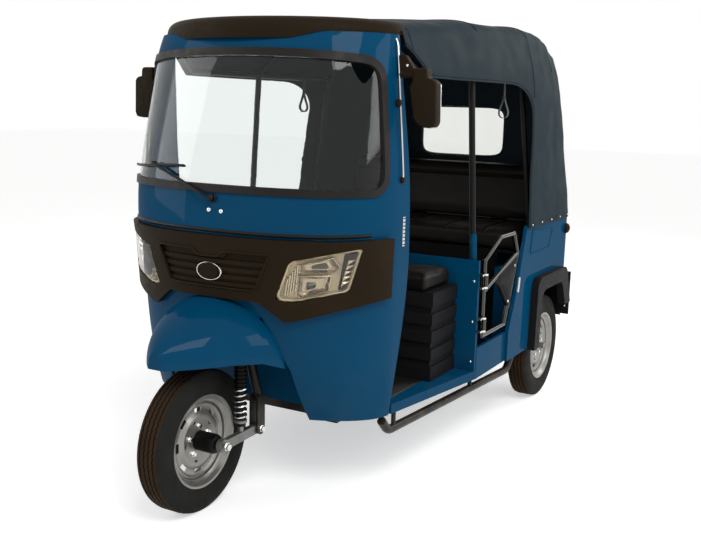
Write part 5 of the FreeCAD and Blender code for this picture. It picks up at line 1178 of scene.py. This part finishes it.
def screws(nose):
    for name, along, places in SCREWS:
        for side, _ in SIDES:
            for k, (x, back, z) in enumerate(places):
                screw_head("%s_%d_%d" % (name, side + 1, k), at(side * x, back, z), Vector((0, along, 0)))
    for x, z in ((-0.012, 1.052), (0.04, 1.05)):
        screw_head("panel_screw_%d" % round(x * 1000 + 100), *touch(nose, x, z), 0.0085)


# Tail: lamp lenses in three colours, each from its low to its high edge
TAIL_LENSES = [("stop", 0.745, 0.85, "tail_red"), ("turn", 0.68, 0.742, "turn_amber"),
        ("reverse", 0.62, 0.677, "lamp_border")]
LENS_RINGS = [(0, 0.0005), (0, 0.009), (0.04, 0.0125), (0.1, 0.0138), (0.9, 0.0138)]
TAIL_FACE = 2.29


def tail_lamp(side, name):
    for label, low, high, look in TAIL_LENSES:
        outline = rounded([(0.508, low), (0.508, high), (0.6, high), (0.6, low)], 0.01, 4)
        rows = [[at(side * x, TAIL_FACE + height, z) for x, z in inset(outline, share)]
                for share, height in LENS_RINGS]
        piece = loft("tail_lens_%s_%s" % (label, name), rows, "tail_red", look=look, soft=0)
        weld(piece)
        shade(piece, 40)
        stand_for("tail_lamps", piece)


def lid_handle():
    points = [(-0.06, 2.3065), (-0.06, 2.324), (0.06, 2.324), (0.06, 2.3065)]
    tube("lid_handle", [at(x, back, 0.56) for x, back in points], 0.006, "bright_chrome", "tail_lid", bends=0.02)


MAT_Z = 0.34
MAT_EDGE = 0.0003
MAT_THICKNESS = 0.0035
RIB_HEIGHT = 0.0022
RIB_PITCH = 0.009


# A mat with ribs from front to back, each made of four columns
def floor_mat(name, half_width, front, rear):
    columns = int(2 * half_width / RIB_PITCH) * 4
    verts = []
    for i in range(columns + 1):
        x = mix(-half_width, half_width, i / columns)
        height = MAT_THICKNESS + (RIB_HEIGHT if i % 4 in (1, 2) else 0)
        for back, rise in ((front, MAT_EDGE), (front + 0.004, height), (rear - 0.004, height), (rear, MAT_EDGE)):
            verts.append(at(x, back, MAT_Z + (rise if 0 < i < columns else MAT_EDGE)))
    faces = [face[::-1] for face in bands(columns + 1, 4)]
    new_piece(name, verts, faces, "seal_rubber", soft=0)


# Cushions: padded by simulation, with sewn channels pressed in afterwards

def block(name, low, high, cuts, lean):
    mesh = bmesh.new()
    verts = {}
    nx, ny, nz = cuts
    for i in range(nx + 1):
        for j in range(ny + 1):
            for k in range(nz + 1):
                if 0 < i < nx and 0 < j < ny and 0 < k < nz:
                    continue
                back = mix(low[1], high[1], j / ny) + lean * k / nz
                verts[i, j, k] = mesh.verts.new(at(mix(low[0], high[0], i / nx), back, mix(low[2], high[2], k / nz)))

    def walls(rows, columns, key, near, far):
        for a in range(rows):
            for b in range(columns):
                corners = (a, b), (a, b + 1), (a + 1, b + 1), (a + 1, b)
                for end, order in ((near, corners), (far, (corners[0], *corners[:0:-1]))):
                    mesh.faces.new([verts[key(*corner, end)] for corner in order])

    walls(nx, ny, lambda a, b, end: (a, b, end), 0, nz)
    walls(nx, nz, lambda a, b, end: (a, end, b), ny, 0)
    walls(ny, nz, lambda a, b, end: (end, a, b), 0, nx)
    data = bpy.data.meshes.new(name)
    mesh.to_mesh(data)
    mesh.free()
    data.materials.append(MATERIALS["seat_vinyl"])
    return new_object(name, data)


PUFF_FRAMES = 20
PRESSURE = 4
SEAM_STIFFNESS = 12


def puff(piece, voxel, cap):
    apply_modifier(piece, "BEVEL", width=0.016, segments=3, limit_method="ANGLE")
    apply_modifier(piece, "REMESH", mode="VOXEL", voxel_size=voxel)
    before = [v.co.copy() for v in piece.data.vertices]
    cloth = piece.modifiers.new("Puff", "CLOTH")
    cloth.settings.use_pressure = True
    cloth.settings.uniform_pressure_force = PRESSURE
    cloth.settings.effector_weights.gravity = 0
    cloth.settings.tension_stiffness = SEAM_STIFFNESS
    cloth.settings.compression_stiffness = SEAM_STIFFNESS
    cloth.point_cache.frame_start = 1
    cloth.point_cache.frame_end = PUFF_FRAMES
    for number in range(1, PUFF_FRAMES + 1):
        bpy.context.scene.frame_set(number)
    depsgraph = bpy.context.evaluated_depsgraph_get()
    after = [v.co.copy() for v in piece.evaluated_get(depsgraph).data.vertices]
    piece.modifiers.clear()
    for vert, start, end in zip(piece.data.vertices, before, after):
        move = end - start
        if move.length > cap:
            move *= cap / move.length
        vert.co = start + move
    bpy.context.scene.frame_set(1)


MARGIN = 0.007
CHANNEL_DEPTH = 0.0075
CHANNEL_WIDTH = 0.007


# Narrow sewn channels across the face that looks along an axis
def press(piece, face, across, channels):
    piece.data.update()
    normals = [v.normal.copy() for v in piece.data.vertices]
    for vert, normal in zip(piece.data.vertices, normals):
        near = min(abs(vert.co[across] - channel) for channel in channels)
        depth = CHANNEL_DEPTH * max(normal.dot(Vector(face)), 0) * math.exp(-(near / CHANNEL_WIDTH) ** 2)
        vert.co -= normal * depth
    piece.data.update()


# Flattens a cushion where it rests, so it stays in the space its solid holds
def keep_inside(piece, low, high, lean):
    for vert in piece.data.vertices:
        vert.co.z = max(vert.co.z, low[2] + 0.0004)
        limit = at(0, high[1] + lean * (vert.co.z - low[2]) / (high[2] - low[2]), 0).y
        vert.co.y = min(vert.co.y, limit)
    piece.data.update()


# Name, node, low and high corner as (x, back, z), cuts, voxel, cap on the swelling, lean of the top,
# the way the face looks, the axis that the channels are counted along, and their places on it
CUSHIONS = [
    ("driver_pad", "driver_seat_cushion", (-0.512, 0.8, 0.7003), (0.512, 1.068, 0.772), (16, 6, 2), 0.008, 0.012, 0,
     (0, 0, 1), 0, (-0.256, 0, 0.256)),
    ("bench_pad", "passenger_cushion", (-0.6, 1.625, 0.7703), (0.6, 2.06, 0.862), (18, 8, 2), 0.009, 0.014, 0,
     (0, 0, 1), 0, (-0.4, -0.2, 0, 0.2, 0.4)),
    ("bench_back", "passenger_backrest", (-0.56, 2.046, 0.8465), (0.56, 2.128, 1.16), (18, 3, 6), 0.009, 0.012,
     0.065, (0, -1, 0), 2, (1.085,)),
]


def cushions():
    for name, node, low, high, cuts, voxel, cap, lean, face, across, channels in CUSHIONS:
        piece = block(name, [value + MARGIN for value in low], [value - MARGIN for value in high], cuts, lean)
        puff(piece, voxel, cap)
        apply_modifier(piece, "SUBSURF", levels=1, render_levels=1)
        press(piece, face, across, channels)
        keep_inside(piece, low, high, lean)
        shade(piece, 80)
        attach(piece, "root")
        stand_for(node, piece)


# Camera, floor and light

PHOTO_WIDTH = 701
FOCAL_PIXELS = 934.66
SENSOR = 36
CAMERA_PLACE = (1.9834, -2.4664, 1.4223)
YAW, PITCH, ROLL = 0.5086, 0.1755, 0.025
PALE = 0.42


def add_camera():
    data = bpy.data.cameras.new("photo_camera")
    data.sensor_width = SENSOR
    data.lens = FOCAL_PIXELS / PHOTO_WIDTH * SENSOR
    camera = new_object("photo_camera", data)
    matrix = Matrix.Translation(at(*CAMERA_PLACE))
    for angle, axis in ((YAW, "Z"), (pi / 2 - PITCH, "X"), (ROLL, "Z")):
        matrix = matrix @ Matrix.Rotation(angle, 4, axis)
    camera.matrix_world = matrix
    bpy.context.scene.camera = camera


# 1 where the camera sees a surface, straight or by way of glass or gloss
def seen(owner):
    path = add_node(owner, "ShaderNodeLightPath")
    result = path.outputs["Is Camera Ray"]
    for kind in ("Is Transmission Ray", "Is Glossy Ray"):
        result = two_sockets(owner, "MAXIMUM", result, path.outputs[kind])
    return result


# The floor looks nearly white to the camera, and still takes the shadow
def add_floor(reach=30):
    mesh = bpy.data.meshes.new("floor")
    mesh.from_pydata([(-reach, -reach, 0), (reach, -reach, 0), (reach, reach, 0), (-reach, reach, 0)],
            [], [(0, 1, 2, 3)])
    mat = new_material("pale_floor", (0.9, 0.9, 0.89, 1), {"Roughness": 0.7, "Emission_Color": (1, 1, 1, 1)})
    tint(mat, ramp(mat, field(mat, 1.3, 5), 0.4, 0.8, 0, 0.12), (0.8, 0.8, 0.79, 1))
    link(mat, ramp(mat, seen(mat), 0, 1, 0, 0.5), shader_input(mat, "Emission Strength"))
    mesh.materials.append(mat)
    new_object("floor", mesh)


def add_world():
    world = bpy.data.worlds.new("studio")
    bpy.context.scene.world = world
    world.use_nodes = True
    back = world.node_tree.nodes["Background"]
    back.inputs["Color"].default_value = (1, 1, 1, 1)
    link(world, ramp(world, seen(world), 0, 1, PALE, 1), back.inputs["Strength"])


# Name, place, what it points at, size and watts
LAMPS = [("key", (3.3, -3.4, 5), (0, 0, 0.7), (2.6, 2.4), 145),
        ("fill", (-4.2, -3, 2.6), (0, 0, 0.8), (2.6, 3), 55),
        ("rim", (2.5, 4.5, 3.4), (0, 0.4, 1), (3, 2), 70),
        ("side", (5, 0.6, 2.8), (0, 0.4, 0.8), (2.4, 2), 60)]


def add_lamps():
    for name, place, target, size, power in LAMPS:
        data = bpy.data.lights.new(name, "AREA")
        data.shape = "RECTANGLE"
        data.size, data.size_y = size
        data.energy = power
        lamp = new_object(name, data)
        lamp.location = place
        lamp.rotation_euler = (Vector(target) - Vector(place)).to_track_quat("-Z", "Y").to_euler()


# CAD nodes keep their shape and take the finished materials, some a finish other than their slot's

# The door loops take the chrome whose dark base colour is a painted reflection
LOOKS = {"door_frame_left": "chrome_painted_dark_reflection", "door_frame_right": "chrome_painted_dark_reflection", "leading_links": "steel_grey",
        "wheel_flares": "cool_plastic", "driver_seat_base": "cool_plastic", "mud_panels": "cool_plastic"}


def dress_nodes():
    for entry in frame["record"]["subparts"]:
        name = entry["node"]
        materials = NODES[name].data.materials
        materials.clear()
        materials.append(MATERIALS[LOOKS.get(name, entry["material_slot"])])


def main():
    add_camera()
    add_floor()
    add_world()
    add_lamps()
    bpy.context.scene.view_settings.view_transform = "Standard"
    dress_nodes()
    canopy()
    tyre("front_tyre", at(0, 0, TYRE_RADIUS), "front_wheel")
    rim("front_rim", at(0, 0, TYRE_RADIUS), "front_wheel", 1)
    front_hub()
    mask = skin("front_mask")
    shell = skin("lower_front_shell")
    nose = skin("front_mask", "upper_front_shell", "lower_front_shell")
    lamp_bed = skin("headlamps", "front_mask", "lower_front_shell")
    flanks = skin("rear_body")
    emblem(shell)
    grille_lip(mask)
    mask_strips(mask, nose)
    screws(nose)
    wiper(skin("upper_front_shell", "windscreen_glass", "windscreen_seal"))
    lid_handle()
    floor_mat("cab_mat", 0.485, 0.5, 0.825)
    floor_mat("rear_mat", 0.56, 1.13, 1.6)
    for side, name in SIDES:
        centre = at(side * REAR_TRACK_HALF, WHEELBASE, TYRE_RADIUS)
        tyre("rear_tyre_" + name, centre, "rear_wheel_" + name)
        rim("rear_rim_" + name, centre, "rear_wheel_" + name, side)
        headlamp(lamp_bed, side, name)
        mirror(side, name)
        front_shock(side, name)
        door_pad(side, name, name + "_door")
        hand_strap(side, name)
        pillar(side, name)
        tail_lamp(side, name)
        side_details(flanks, side, name)
        pole_sleeve(side, name)
    cushions()


main()
